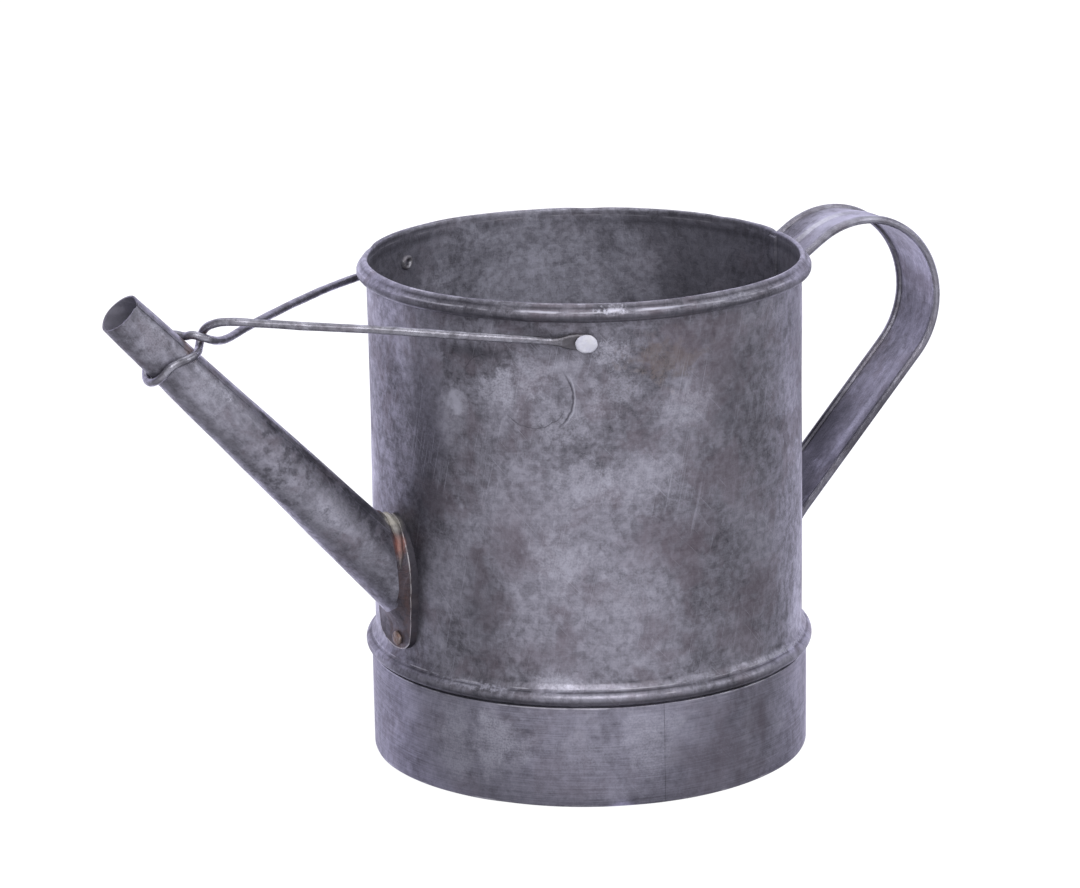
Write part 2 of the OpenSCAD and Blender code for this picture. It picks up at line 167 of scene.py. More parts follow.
class Effects:
    """The node groups that several finishes share, each built once."""

    def __init__(self) -> None:
        """Builds the groups."""
        self.spangle = self._spangle()
        self.clouds = self._clouds()
        self.strokes = self._strokes()
        self.height_band = self._height_band()
        self.patch = self._patch()
        self.arc_mark = self._arc_mark()

    def _spangle(self) -> Any:
        """Crystals of old hot-dip zinc.

        Returns:
            A group that gives each crystal its own tone.
        """
        g = Group("zinc_spangle", "Float", scale=90.0, bend=0.006)
        vector = g.got["Vector"]
        wobble = g.add("TexNoise", {"Vector": vector, "Scale": 160.0, "Detail": 2.0}).outputs["Color"]
        centred = g.vector_math("SUBTRACT", wobble, (0.5, 0.5, 0.5))
        bent = g.add("VectorMath", {0: centred, "Scale": g.got["Bend"]}, operation="SCALE").outputs[0]
        place = g.vector_math("ADD", vector, bent)
        cells = g.add("TexVoronoi", {"Vector": place, "Scale": g.got["Scale"]}, feature="F1")
        return g.put(g.add("SeparateColor", {0: cells.outputs["Color"]}).outputs[0])

    def _clouds(self) -> Any:
        """Soft patches of tarnish, bloom or dirt.

        Returns:
            A group whose mask is 1 inside the patches.
        """
        g = Group("tarnish_clouds", "Float", scale=20.0, detail=5.0, warp=0.6, low=0.45, high=0.65, shift=0.0)
        shift = g.add("CombineXYZ", {0: g.got["Shift"], 1: 0.3, 2: g.got["Shift"]}).outputs[0]
        inputs = {
            "Vector": g.vector_math("ADD", g.got["Vector"], shift),
            "Scale": g.got["Scale"],
            "Detail": g.got["Detail"],
            "Roughness": 0.64,
            "Distortion": g.got["Warp"],
        }
        return g.put(g.ramp(g.add("TexNoise", inputs).outputs[0], g.got["Low"], g.got["High"]))

    def _strokes(self) -> Any:
        """Fine scratches and rubbing that all run one way.

        Returns:
            A group whose mask is 1 on the strokes, Fine across them and Long along them, per metre.
        """
        g = Group("rubbed_strokes", "Float", fine=900.0, long=30.0, low=0.62, high=0.72, turn=0.0)
        turn = {"Vector": g.got["Vector"], "Angle": g.got["Turn"], "Axis": (0, 0, 1)}
        turned = g.add("VectorRotate", turn).outputs[0]
        scale = g.add("CombineXYZ", {0: g.got["Fine"], 1: g.got["Long"], 2: 40.0}).outputs[0]
        lines = g.noise(g.vector_math("MULTIPLY", turned, scale), 1.0, 2.0, 0.6)
        where = g.noise(g.got["Vector"], 45.0, 1.0, 0.5)
        value = g.math("MULTIPLY_ADD", where, 0.35, lines)
        return g.put(g.ramp(value, g.got["Low"], g.got["High"]))

    def _height_band(self) -> Any:
        """A band round the can at one height, broken into gaps by noise.

        Returns:
            A group whose mask is 1 along the band.
        """
        g = Group("height_band", "Float", height=0.04, width=0.001, gaps=0.5)
        z = g.add("SeparateXYZ", {0: g.got["Vector"]}).outputs[2]
        away = g.math("ABSOLUTE", g.math("SUBTRACT", z, g.got["Height"]))
        near = g.math("SUBTRACT", 1.0, g.math("DIVIDE", away, g.got["Width"]), clamp=True)
        broken = g.noise(g.got["Vector"], 75.0, 4.0, 0.65)
        kept = g.math("SUBTRACT", broken, g.math("MULTIPLY", g.got["Gaps"], 0.3))
        return g.put(g.math("MULTIPLY", near, g.ramp(kept, 0.28, 0.46)))

    def _patch(self) -> Any:
        """One ragged patch at a known place.

        Returns:
            A group whose mask is 1 in the middle of the patch.
        """
        g = Group("placed_patch", "Float", centre=None, size=None, ragged=0.8, grain=0.5)
        away = g.vector_math("SUBTRACT", g.got["Vector"], g.got["Centre"])
        length = g.vector_math("LENGTH", g.vector_math("DIVIDE", away, g.got["Size"]))
        grain = g.math("SUBTRACT", g.got["Grain"], 0.5)
        ragged = g.math("MULTIPLY", grain, g.math("MULTIPLY", g.got["Ragged"], 3.0))
        return g.put(g.ramp(g.math("ADD", length, ragged), 0.25, 1.15, 1.0, 0.0))

    def _arc_mark(self) -> Any:
        """Part of a round scored line at a known place.

        Returns:
            A group whose mask is 1 on the line.
        """
        g = Group("scored_arc", "Float", centre=None, radius=0.01, width=0.0004, way=None, open=0.2)
        away = g.vector_math("SUBTRACT", g.got["Vector"], g.got["Centre"])
        length = g.vector_math("LENGTH", away)
        wobble = g.math("SUBTRACT", g.noise(g.got["Vector"], 220.0, 3.0), 0.5)
        wander = g.math("MULTIPLY", wobble, 0.0022)
        off = g.math("ABSOLUTE", g.math("SUBTRACT", g.math("ADD", length, wander), g.got["Radius"]))
        line = g.math("SUBTRACT", 1.0, g.math("DIVIDE", off, g.got["Width"]), clamp=True)
        facing = g.vector_math("DOT_PRODUCT", g.vector_math("NORMALIZE", away), g.got["Way"])
        part = g.math("MULTIPLY", g.math("SUBTRACT", facing, g.got["Open"]), 4.0, clamp=True)
        return g.put(g.math("MULTIPLY", line, part))


# ---------------------------------------------------------------- finishes


PALE: Colour = (0.570, 0.565, 0.660)
BROWN: Colour = (0.130, 0.094, 0.115)
# Dark colour for grime, and for painted shade, shadow and dark reflection.
SOOT_AND_SHADE: Colour = (0.040, 0.038, 0.050)
HOOP_SHADE: Colour = (0.110, 0.090, 0.112)
ORANGE_RUST: Colour = (0.430, 0.190, 0.150)
# Bright colour for rubbed lines and for painted highlight lines.
RUBBED_AND_HIGHLIGHT: Colour = (0.62, 0.61, 0.68)
BARE_EDGE: Colour = (0.66, 0.64, 0.66)
SPOUT_LINING: Colour = (0.46, 0.45, 0.53)
# Darker inner-side tone: painted shade.
INNER_WALL_SHADE: Colour = (0.20, 0.195, 0.235)

SPECKLED_BELOW = 0.6  # a fainter patch than this lets the grit show through
STEEP_STROKES = (2200.0, 26.0, 0.80, 0.90, 0.22)
SLANTING_STROKES = (1900.0, 40.0, 0.83, 0.92, -0.75)
UP_STROKES = (1500.0, 160.0, 0.35, 0.95, 0.06)
GRIT_SCALE = 1300.0
BUMP_DISTANCE = 0.4 * MM

Band = tuple[float, float, float]  # height and half width in millimetres, and how broken it is


class Grain(Enum):
    """How fine the ragged edge of a placed patch is, per metre."""

    COARSE = 75.0
    MIDDLE = 210.0
    FINE = 560.0


class Flow(Enum):
    """Which way a piece's sheet or wire runs, for strokes that follow it."""

    WALL = "wall"
    SPOUT = "spout"
    STRAP = "strap"


@dataclass(frozen=True)
class Patch:
    """A placed patch: its middle and half sizes in millimetres, its strength and its colour."""

    centre: Point
    size: Point
    strength: float
    colour: Colour
    ragged: float = 0.8
    grain: Grain = Grain.MIDDLE


@dataclass(frozen=True)
class Arc:
    """A scored line, in millimetres: its circle and width, which way its middle lies and how short it is."""

    centre: Point
    radius: float
    width: float
    way: Point
    open: float
    strength: float
    colour: Colour


@dataclass(frozen=True)
class ZincFinish:
    """Old zinc: its tones, how blotched, scratched and stained it is, how it shines, and the light and shade
    painted into its colour.
    """

    name: str
    dark: Colour = (0.068, 0.065, 0.078)
    light: Colour = (0.345, 0.336, 0.398)
    bloom: Colour = (0.510, 0.505, 0.590)
    stain: Colour = (0.138, 0.106, 0.130)
    patch_scale: float = 20.0
    spangle_scale: float = 120.0
    spangle_depth: float = 0.16
    fine_scale: float = 330.0
    fine_depth: float = 0.40
    grit_depth: float = 0.38
    stroke_along: float = 190.0
    stroke_across: float = 1700.0
    bloom_amount: float = 0.30
    stain_amount: float = 0.45
    scratch_amount: float = 0.30
    brushed_round: float = 0.09
    brushed_up: float = 0.09
    rough: float = 0.42
    metallic: float = 0.68
    base_tone: float = 0.0
    shift: float = 0.0
    bump: float = 0.30
    wall_radius: float = 0.08
    flow: Flow = Flow.WALL
    edge_wear: float = 0.0
    lining: float = 0.0
    inside: Patch | None = None
    worn_and_highlight: tuple[Band, ...] = ()
    grime_and_shade: tuple[Band, ...] = ()
    patches: tuple[Patch, ...] = ()
    arcs: tuple[Arc, ...] = ()

    def flat_sheet(self, g: Graph, here: Any) -> Any:
        """Lays the sheet out flat, so that strokes can follow it.

        Args:
            g: the material's graph.
            here: the object coordinates.

        Returns:
            A vector of the way round, the way along, and a shift of its own.
        """
        if self.flow is Flow.STRAP:
            part = g.add("SeparateXYZ", {0: here}).outputs
            along = g.math("ADD", part[2], part[0])
            return g.add("CombineXYZ", {0: part[1], 1: along, 2: self.shift}).outputs[0]
        if self.flow is Flow.SPOUT:
            root = (-0.08, 0.0, 0.076)
            upright = {"Vector": here, "Center": root, "Axis": (0.0, 1.0, 0.0), "Angle": math.radians(43.3)}
            here = g.vector_math("SUBTRACT", g.add("VectorRotate", upright).outputs[0], (root[0], 0.0, 0.0))
        part = g.add("SeparateXYZ", {0: here}).outputs
        turn = g.math("ARCTAN2", g.math("MULTIPLY", part[1], -1.0), g.math("MULTIPLY", part[0], -1.0))
        way_round = g.math("MULTIPLY", turn, self.wall_radius)
        return g.add("CombineXYZ", {0: way_round, 1: part[2], 2: self.shift}).outputs[0]

    def build(self, effects: Effects) -> Any:
        """Makes the material.

        Args:
            effects: the shared node groups.

        Returns:
            The material.
        """
        material = bpy.data.materials.new(self.name)
        coat = Coat(self, effects, fresh_graph(material))
        coat.lay_tones()
        coat.lay_stains_and_painted_light()
        coat.lay_scratches()
        coat.lay_bands()
        coat.lay_mesh_marks()
        coat.lay_shine()
        if self.inside:
            coat.lay_inner_side(self.inside)
        coat.close()
        return material


class Coat:
    """A finish while its material is built: its coordinates, and the values that each layer changes."""

    def __init__(self, finish: ZincFinish, effects: Effects, g: Graph) -> None:
        """Starts the coat.

        Args:
            finish: its sizes and colours.
            effects: the shared node groups.
            g: the material's graph.
        """
        self.finish = finish
        self.effects = effects
        self.g = g
        self.here = g.add("TexCoord").outputs["Object"]
        self.sheet = finish.flat_sheet(g, self.here)
        self.grains: dict[Grain, Any] = {}

    def place(self, tree: Any, vector: Any, **values: Any) -> Any:
        """Places a shared group with its values and returns its output."""
        inputs = {"Vector": vector, **{key.capitalize(): value for key, value in values.items()}}
        return self.g.add("Group", inputs, node_tree=tree).outputs[0]

    def clouds(
        self, scale: float, low: float, high: float, shift: float, warp: float = 0.6, detail: float = 4.0
    ) -> Any:
        """Places the clouds group and returns its mask."""
        return self.place(
            self.effects.clouds, self.here, scale=scale, low=low, high=high,
            shift=shift + self.finish.shift, warp=warp, detail=detail,
        )

    def strokes(self, fine: float, long: float, low: float, high: float, turn: float) -> Any:
        """Places the strokes group and returns its mask."""
        return self.place(
            self.effects.strokes, self.sheet, fine=fine, long=long, low=low, high=high, turn=turn
        )

    def patch(self, patch: Patch) -> Any:
        """Places the patch group and returns its mask; patches of one grain share their noise."""
        if patch.grain not in self.grains:
            self.grains[patch.grain] = self.g.noise(self.here, patch.grain.value, 4.0, 0.68)
        return self.place(
            self.effects.patch, self.here, centre=Vector(patch.centre) * MM, size=Vector(patch.size) * MM,
            ragged=patch.ragged, grain=self.grains[patch.grain],
        )

    def mesh_value(self, name: str) -> Any:
        """The value that a piece's mesh holds under a name."""
        return self.g.add("Attribute", attribute_name=name, attribute_type="GEOMETRY").outputs["Fac"]

    def cover(self, mask: Any, strength: float, colour: Colour) -> None:
        """Covers the coat with a colour where the mask says."""
        self.colour = self.g.mix(self.g.math("MULTIPLY", mask, strength), self.colour, colour)

    def lay_tones(self) -> None:
        """The zinc itself, blotched, crystalline, gritty and rubbed both ways."""
        finish, g = self.finish, self.g
        crystal = self.place(self.effects.spangle, self.here, scale=finish.spangle_scale)
        broad = self.clouds(finish.patch_scale, 0.36, 0.64, 1.7)
        self.fine = self.clouds(finish.fine_scale, 0.30, 0.70, 5.1, 0.35, 5.0)
        self.grit = g.noise(self.sheet, GRIT_SCALE, 2.0, 0.7)
        round_brush = self.strokes(finish.stroke_along, finish.stroke_across, 0.35, 0.95, 0.0)
        self.up_brush = self.strokes(*UP_STROKES)
        tone = g.math("MULTIPLY_ADD", broad, 0.40, finish.base_tone + 0.04)
        tone = g.math("MULTIPLY_ADD", self.fine, finish.fine_depth, tone)
        centred = (
            (crystal, finish.spangle_depth), (self.grit, finish.grit_depth),
            (round_brush, finish.brushed_round), (self.up_brush, finish.brushed_up),
        )
        for layer, depth in centred:
            last = layer is self.up_brush
            tone = g.math("MULTIPLY_ADD", g.math("SUBTRACT", layer, 0.5), depth, tone, clamp=last)
        self.tone = tone
        self.colour = g.mix(tone, finish.dark, finish.light)

    def lay_stains_and_painted_light(self) -> None:
        """White bloom, brown stain and the placed patches; the patches are part stains and part painted light
        and shade.
        """
        finish, g = self.finish, self.g
        bloom = self.clouds(finish.patch_scale * 3.2, 0.54, 0.72, 9.3, 0.6, 6.0)
        self.cover(bloom, finish.bloom_amount, finish.bloom)
        stain = self.clouds(finish.patch_scale * 2.6, 0.48, 0.66, 13.9, 0.5)
        self.stain = g.math("MULTIPLY", stain, finish.stain_amount)
        self.colour = g.mix(self.stain, self.colour, finish.stain)
        speckle = g.ramp(self.grit, 0.34, 0.62, 0.60, 1.25)
        for patch in finish.patches:
            mask = self.patch(patch)
            mask = g.math("MULTIPLY", mask, speckle) if patch.strength < SPECKLED_BELOW else mask
            self.cover(mask, patch.strength, patch.colour)

    def lay_scratches(self) -> None:
        """Long scratches and scored arcs, and the fine height of the surface with both in it."""
        finish, g = self.finish, self.g
        both = g.math("MAXIMUM", self.strokes(*STEEP_STROKES), self.strokes(*SLANTING_STROKES))
        scratch = g.math("MULTIPLY", both, finish.scratch_amount)
        self.colour = g.mix(scratch, self.colour, finish.bloom)
        self.height = g.math("MULTIPLY", self.fine, 0.55)
        for layer, depth in ((scratch, -0.5), (self.up_brush, 0.12), (self.grit, 0.35)):
            self.height = g.math("MULTIPLY_ADD", layer, depth, self.height)
        for mark in finish.arcs:
            mask = self.place(
                self.effects.arc_mark, self.here, centre=Vector(mark.centre) * MM, radius=mark.radius * MM,
                width=mark.width * MM, way=Vector(mark.way).normalized(), open=mark.open,
            )
            self.cover(mask, mark.strength, mark.colour)
            self.height = g.math("MULTIPLY_ADD", mask, -0.8, self.height)

    def lay_bands(self) -> None:
        """Dark bands along the can's ridges, part grime and part painted shade under the rim roll and the
        bead, and bright lines along them, part rubbed bare and part painted highlight.
        """
        finish, g = self.finish, self.g
        for bands, strength, colour in ((finish.grime_and_shade, 0.80, SOOT_AND_SHADE), (finish.worn_and_highlight, 0.75, RUBBED_AND_HIGHLIGHT)):
            masks = [
                self.place(self.effects.height_band, self.here, height=level * MM, width=width * MM, gaps=gaps)
                for level, width, gaps in bands
            ]
            if masks:
                self.cover(reduce(lambda a, b: g.math("MAXIMUM", a, b), masks), strength, colour)

    def lay_mesh_marks(self) -> None:
        """The spout's pale lining, and the plate's bare edge with the shade behind it."""
        finish, g = self.finish, self.g
        if finish.lining:
            lined = g.math("GREATER_THAN", self.mesh_value("lining"), 0.98)
            self.cover(lined, finish.lining, SPOUT_LINING)
        if finish.edge_wear:
            edge = self.mesh_value("worn_edge")
            bare = g.math("MULTIPLY", g.ramp(edge, 0.76, 0.92), g.ramp(self.fine, 0.2, 0.6, 0.35, 1.0))
            self.cover(bare, finish.edge_wear, BARE_EDGE)
            # Painted shade on the plate's turned-back edge.
            self.colour = g.mix(g.ramp(edge, -0.8, -0.2, 0.75, 0.0), self.colour, SOOT_AND_SHADE)

    def lay_shine(self) -> None:
        """How rough and how metallic it is: dark and stained zinc is duller."""
        finish, g = self.finish, self.g
        rough = g.math("MULTIPLY_ADD", g.math("SUBTRACT", 0.5, self.tone), 0.20, finish.rough)
        self.rough = g.math("MULTIPLY_ADD", self.stain, 0.14, rough)
        self.metal = g.math("MULTIPLY_ADD", self.stain, -0.35, finish.metallic)

    def lay_inner_side(self, lit_place: Patch) -> None:
        """The wall's inner side, darkened all over with painted shade, with a painted pool of light in one
        place.

        Args:
            lit_place: the painted pool of light.
        """
        g = self.g
        level = g.vector_math("MULTIPLY", self.here, (1.0, 1.0, 0.0))
        outward = g.vector_math("DOT_PRODUCT", level, g.add("NewGeometry").outputs["Normal"])
        within = g.math("LESS_THAN", outward, -0.02)
        # Painted shade over the whole inner side.
        self.cover(within, 0.34, SOOT_AND_SHADE)
        # Painted pool of light on the far inner wall, fading to a faint painted tone elsewhere inside; that
        # zinc is also made duller.
        amount = g.math("MULTIPLY_ADD", self.patch(lit_place), lit_place.strength, 0.14)
        lit_inside = g.math("MULTIPLY", within, amount)
        self.colour = g.mix(lit_inside, self.colour, g.mix(self.tone, INNER_WALL_SHADE, lit_place.colour))
        self.metal = g.math("MULTIPLY_ADD", lit_inside, -0.45, self.metal)
        self.rough = g.math("MULTIPLY_ADD", lit_inside, 0.10, self.rough)

    def close(self) -> None:
        """Joins the layers in one shader."""
        bump = {"Strength": self.finish.bump, "Distance": BUMP_DISTANCE, "Height": self.height}
        inputs = {
            "Base Color": self.colour,
            "Roughness": self.rough,
            "Metallic": self.metal,
            "Normal": self.g.add("Bump", bump).outputs[0],
        }
        shader = self.g.add("BsdfPrincipled", inputs)
        self.g.add("OutputMaterial", {"Surface": shader.outputs[0]})


BODY_ZINC = ZincFinish(
    "old_body_zinc",
    base_tone=0.055, fine_depth=0.46, grit_depth=0.47, brushed_round=0.13, stroke_along=130.0,
    # Painted pool of light where the top light falls on the far inner wall.
    inside=Patch((24, 74, 148), (66, 34, 54), 0.62, (0.74, 0.74, 0.88), 0.5, Grain.COARSE),
    # Bright lines on the rim roll and the bead: part rubbed zinc, part painted highlight.
    worn_and_highlight=((183.8, 0.34, 0.55), (44.35, 0.3, 0.5), (42.0, 0.3, 0.9), (186.5, 0.22, 0.6)),
    # Dark bands under the rim roll and round the bead: painted shade, with some grime.
    grime_and_shade=((181.5, 2.0, 0.0), (185.2, 0.8, 0.2), (40.0, 1.7, 0.0), (43.5, 0.45, 0.2), (46.6, 1.6, 0.7)),
    patches=(
        Patch((-72, -34, 148), (6, 6, 6), 0.65, PALE),
        Patch((-62, -50, 154), (11, 11, 8), 0.41, PALE, 1.0),
        Patch((-55, -59, 160), (10, 10, 9), 0.33, PALE, 1.1),
        Patch((-46, -66, 143), (13, 13, 10), 0.26, PALE, 1.1),
        Patch((-30, -74, 155), (14, 14, 8), 0.25, PALE, 1.2),
        Patch((-2, -80, 147), (9, 9, 7), 0.34, PALE, 1.2),
        Patch((-39, -70, 119), (14, 14, 11), 0.25, PALE, 1.2),
        Patch((-21, -77, 121), (16, 16, 11), 0.18, PALE, 1.3),
        Patch((-47, -65, 92), (13, 13, 11), 0.28, PALE, 1.1),
        Patch((-28, -75, 80), (18, 18, 12), 0.16, PALE, 1.2),
        Patch((-31, -74, 169), (6, 6, 5), 0.33, PALE, 1.7, Grain.FINE),
        Patch((-31, -77, 184.6), (6, 4, 1.3), 0.85, PALE, 1.5, Grain.FINE),
        # Painted highlight along the rim roll.
        Patch((-14, -81, 184.1), (17, 4, 0.42), 0.85, PALE, 0.4),
        Patch((-54, -63, 184.0), (11, 10, 0.42), 0.80, PALE, 0.4),
        Patch((20, -80, 184.4), (16, 5, 1.4), 0.45, PALE, 1.7, Grain.FINE),
        Patch((-12, -79, 165), (14, 14, 9), 0.35, (0.200, 0.150, 0.120), 1.3),
        # Dark patches beside the spout root and the saddle edge: painted shade and dark reflection.
        Patch((-77, -22, 128), (9, 12, 40), 0.44, SOOT_AND_SHADE, 0.9, Grain.COARSE),
        Patch((-79, -13, 84), (6, 9, 34), 0.55, SOOT_AND_SHADE, 0.8, Grain.COARSE),
        Patch((-68, -43, 70), (12, 12, 26), 0.26, SOOT_AND_SHADE, 1.0, Grain.COARSE),
        Patch((18, -78, 150), (9, 9, 26), 0.34, SOOT_AND_SHADE, 1.0, Grain.COARSE),
        # Painted shadow of the stay wire on the wall.
        Patch((-67, -43, 167.2), (15, 20, 3.6), 0.66, SOOT_AND_SHADE, 0.45, Grain.COARSE),
        Patch((-10, -79, 98), (20, 20, 15), 0.24, BROWN, 1.1, Grain.COARSE),
        Patch((-55, -58, 55), (22, 22, 9), 0.25, BROWN, 1.1, Grain.COARSE),
        Patch((-60, -53, 108), (10, 10, 18), 0.19, BROWN, 1.1, Grain.COARSE),
        Patch((10, -79, 168), (26, 26, 8), 0.19, BROWN, 1.1, Grain.COARSE),
        Patch((28, -78, 183.5), (22, 9, 2.2), 0.55, SOOT_AND_SHADE, 1.8, Grain.FINE),
        Patch((-76, -34, 183.8), (10, 16, 2.2), 0.45, SOOT_AND_SHADE, 1.8, Grain.FINE),
        # Pale patches on and above the bead: part rubbed zinc, part painted reflection on its upper slope.
        Patch((45, -70, 44.5), (22, 16, 1.3), 0.55, PALE, 1.2, Grain.FINE),
        Patch((-72, -41, 43.5), (14, 18, 1.2), 0.45, PALE, 1.3, Grain.FINE),
        Patch((-48, -66, 47), (10, 9, 3.5), 0.45, PALE, 1.2),
    ),
    arcs=(
        Arc((-54, -59, 152.5), 14.2, 0.55, (0.85, -0.40, -0.10), 0.62, 0.85, SOOT_AND_SHADE),
        Arc((-54, -59, 152.5), 15.1, 0.40, (0.85, -0.40, -0.10), 0.70, 0.55, PALE),
        Arc((-54, -59, 153.0), 12.2, 0.35, (0.05, -0.10, -1.0), 0.45, 0.60, SOOT_AND_SHADE),
        Arc((-20, -77, 128.0), 17.0, 0.22, (0.30, 0.0, 1.0), 0.80, 0.18, PALE),
        Arc((-66, -45, 158.0), 8.0, 0.30, (-0.50, 0.4, 0.9), 0.60, 0.45, SOOT_AND_SHADE),
    ),
)
HOOP_ZINC = ZincFinish(
    "brushed_hoop_zinc",
    dark=(0.068, 0.064, 0.084), light=(0.335, 0.326, 0.402),
    shift=0.31, brushed_round=0.34, brushed_up=0.05, fine_depth=0.26, spangle_depth=0.06, base_tone=0.17,
    stroke_along=55.0, stroke_across=2500.0, scratch_amount=0.07, stain_amount=0.20, bump=0.22,
    wall_radius=0.0815,
    worn_and_highlight=((37.35, 0.4, 0.45), (0.5, 0.5, 0.7)),
    patches=(
        Patch((-64, -50, 22), (16, 16, 13), 0.42, PALE, 1.0, Grain.COARSE),
        Patch((-42, -69, 22), (16, 16, 10), 0.12, PALE, 1.1, Grain.COARSE),
        Patch((-74, -34, 20), (8, 12, 16), 0.28, PALE, 1.0, Grain.COARSE),
        Patch((-20, -79, 22), (14, 14, 14), 0.22, PALE, 1.0, Grain.COARSE),
        Patch((8, -81, 16), (20, 20, 14), 0.44, HOOP_SHADE, 0.8, Grain.COARSE),
        Patch((27, -77, 24), (10, 10, 12), 0.40, HOOP_SHADE, 0.9, Grain.COARSE),
        Patch((30, -75.8, 22), (2.6, 6, 17), 0.32, HOOP_SHADE, 0.7),
    ),
)
SPOUT_ZINC = ZincFinish(
    "old_spout_zinc",
    flow=Flow.SPOUT, wall_radius=0.011, shift=0.77, patch_scale=26.0, fine_depth=0.46, brushed_round=0.05,
    brushed_up=0.10, bloom_amount=0.34, base_tone=0.11, scratch_amount=0.10, lining=0.8,
    patches=(
        # Dark patches along the tube's upper side and round its root: painted shade.
        Patch((-120, -6, 126), (22, 5, 22), 0.65, SOOT_AND_SHADE, 1.5),
        Patch((-100, -7, 104), (16, 6, 16), 0.60, SOOT_AND_SHADE, 1.5),
        Patch((-92, -10, 82), (9, 5, 12), 0.45, SOOT_AND_SHADE, 1.2),
        Patch((-85, -10, 66), (6, 7, 9), 0.50, SOOT_AND_SHADE, 1.0),
        Patch((-112, -11, 103), (13, 5, 12), 0.26, PALE, 1.5),
        Patch((-98, -12, 84), (8, 4, 8), 0.20, PALE, 1.6),
        Patch((-161.5, -5, 173.8), (5, 5, 4.5), 0.42, (0.36, 0.23, 0.19), 1.2),
        Patch((-176, -8, 178), (9, 6, 12), 0.30, PALE, 1.2),
        Patch((-156, -9, 158), (9, 6, 9), 0.30, PALE, 1.3),
    ),
)
SADDLE_ZINC = ZincFinish(
    "stained_saddle_zinc",
    dark=(0.036, 0.031, 0.040), light=(0.170, 0.150, 0.180), stain=(0.110, 0.066, 0.062),
    shift=1.21, patch_scale=40.0, stain_amount=0.5, metallic=0.50, rough=0.52, edge_wear=0.80,
    scratch_amount=0.05,
    patches=(
        Patch((-84, -9.0, 89), (4.0, 4.5, 6.0), 0.85, ORANGE_RUST, 0.4),
        Patch((-83, -12, 77), (4, 4, 9), 0.22, (0.140, 0.075, 0.070), 1.0),
        # Pale patch at the solder's top: whitish old solder with a painted sheen.
        Patch((-83, -5, 98.5), (6, 6, 4.5), 0.85, (0.500, 0.475, 0.430), 0.6),
        Patch((-82, -3, 52), (3, 5, 6), 0.40, (0.180, 0.095, 0.070), 1.2, Grain.FINE),
        Patch((-82, -12, 62), (3, 3, 10), 0.28, (0.150, 0.080, 0.070), 1.3, Grain.FINE),
    ),
)
OLD_SOLDER = ZincFinish(
    "old_solder",
    dark=(0.055, 0.050, 0.056), light=(0.210, 0.200, 0.205), stain=(0.150, 0.090, 0.075),
    shift=1.63, patch_scale=90.0, stain_amount=0.35, metallic=0.35, rough=0.50, bump=0.5, scratch_amount=0.0,
    patches=(
        Patch((-85, -9.0, 89), (5.0, 5.0, 6.0), 0.85, ORANGE_RUST, 0.4),
        # Pale patch at the solder's top: whitish old solder with a painted sheen.
        Patch((-85, -4, 98.8), (8, 9, 5.2), 0.95, (0.500, 0.475, 0.420), 0.5),
    ),
)
RUSTY_PIN = ZincFinish(
    "rusty_pin_steel",
    dark=(0.110, 0.075, 0.064), light=(0.440, 0.340, 0.300), stain=(0.250, 0.120, 0.085), shift=2.1,
    patch_scale=260.0, stain_amount=0.5, metallic=0.45, rough=0.42, bump=0.5,
)
STAY_ZINC = ZincFinish(
    "stay_wire_zinc",
    dark=(0.100, 0.096, 0.112), light=(0.405, 0.400, 0.455), shift=2.6, patch_scale=70.0, spangle_scale=500.0,
    stain_amount=0.30, brushed_round=0.06, brushed_up=0.06, rough=0.30, metallic=0.78,
    patches=(
        Patch((-43.5, -71.5, 172.6), (13, 11, 8), 0.85, (0.085, 0.079, 0.086), 0.7),
        Patch((-154, -1, 176), (3, 3, 3), 0.50, (0.300, 0.170, 0.110), 1.2, Grain.FINE),
    ),
)
BRIGHT_RIVET = ZincFinish(
    "bright_rivet_tin",
    dark=(0.770, 0.770, 0.900), light=(0.940, 0.940, 1.0), bloom=(0.98, 0.98, 1.0), stain=(0.66, 0.65, 0.76),
    shift=3.2, patch_scale=220.0, spangle_scale=500.0, stain_amount=0.20, metallic=0.05, rough=0.55,
    bump=0.35,
)
DULL_RIVET = ZincFinish(
    "dull_rivet_tin", dark=(0.110, 0.105, 0.115), light=(0.400, 0.395, 0.430), shift=3.5, patch_scale=200.0,
    metallic=0.6, rough=0.45,
)
STRAP_ZINC = ZincFinish(
    "old_strap_zinc",
    flow=Flow.STRAP, shift=4.1, patch_scale=24.0, brushed_round=0.05, brushed_up=0.30, fine_depth=0.28,
    spangle_depth=0.08, base_tone=0.20, stain_amount=0.30, rough=0.36, scratch_amount=0.12, bloom_amount=0.18,
    patches=(
        # Painted highlight along the strap's raised ridge.
        Patch((116, -6.5, 104), (36, 2.0, 44), 0.36, PALE, 0.4, Grain.COARSE),
        # Painted dark reflection of the can's wall on the strap's lower part.
        Patch((111, 8, 97), (18, 15, 25), 0.94, SOOT_AND_SHADE, 0.4, Grain.COARSE),
        Patch((101, -2, 82), (20, 17, 22), 0.94, SOOT_AND_SHADE, 0.4, Grain.COARSE),
        # Painted shade along the hem's lower side at the near edge.
        Patch((120, -12.4, 106), (36, 3.2, 46), 0.66, SOOT_AND_SHADE, 0.5, Grain.COARSE),
        # Painted highlight on the strap's top.
        Patch((108, -4, 192), (28, 16, 12), 0.70, PALE, 0.8, Grain.COARSE),
        Patch((148, 4, 150), (10, 5, 30), 0.30, SOOT_AND_SHADE, 0.7, Grain.COARSE),
    ),
)
PAN_ZINC = ZincFinish(
    "grimy_pan_zinc", shift=4.9, stain_amount=0.7, dark=(0.060, 0.056, 0.060), light=(0.260, 0.250, 0.270),
    rough=0.52, metallic=0.5, brushed_up=0.0,
)


# ---------------------------------------------------------------- studio


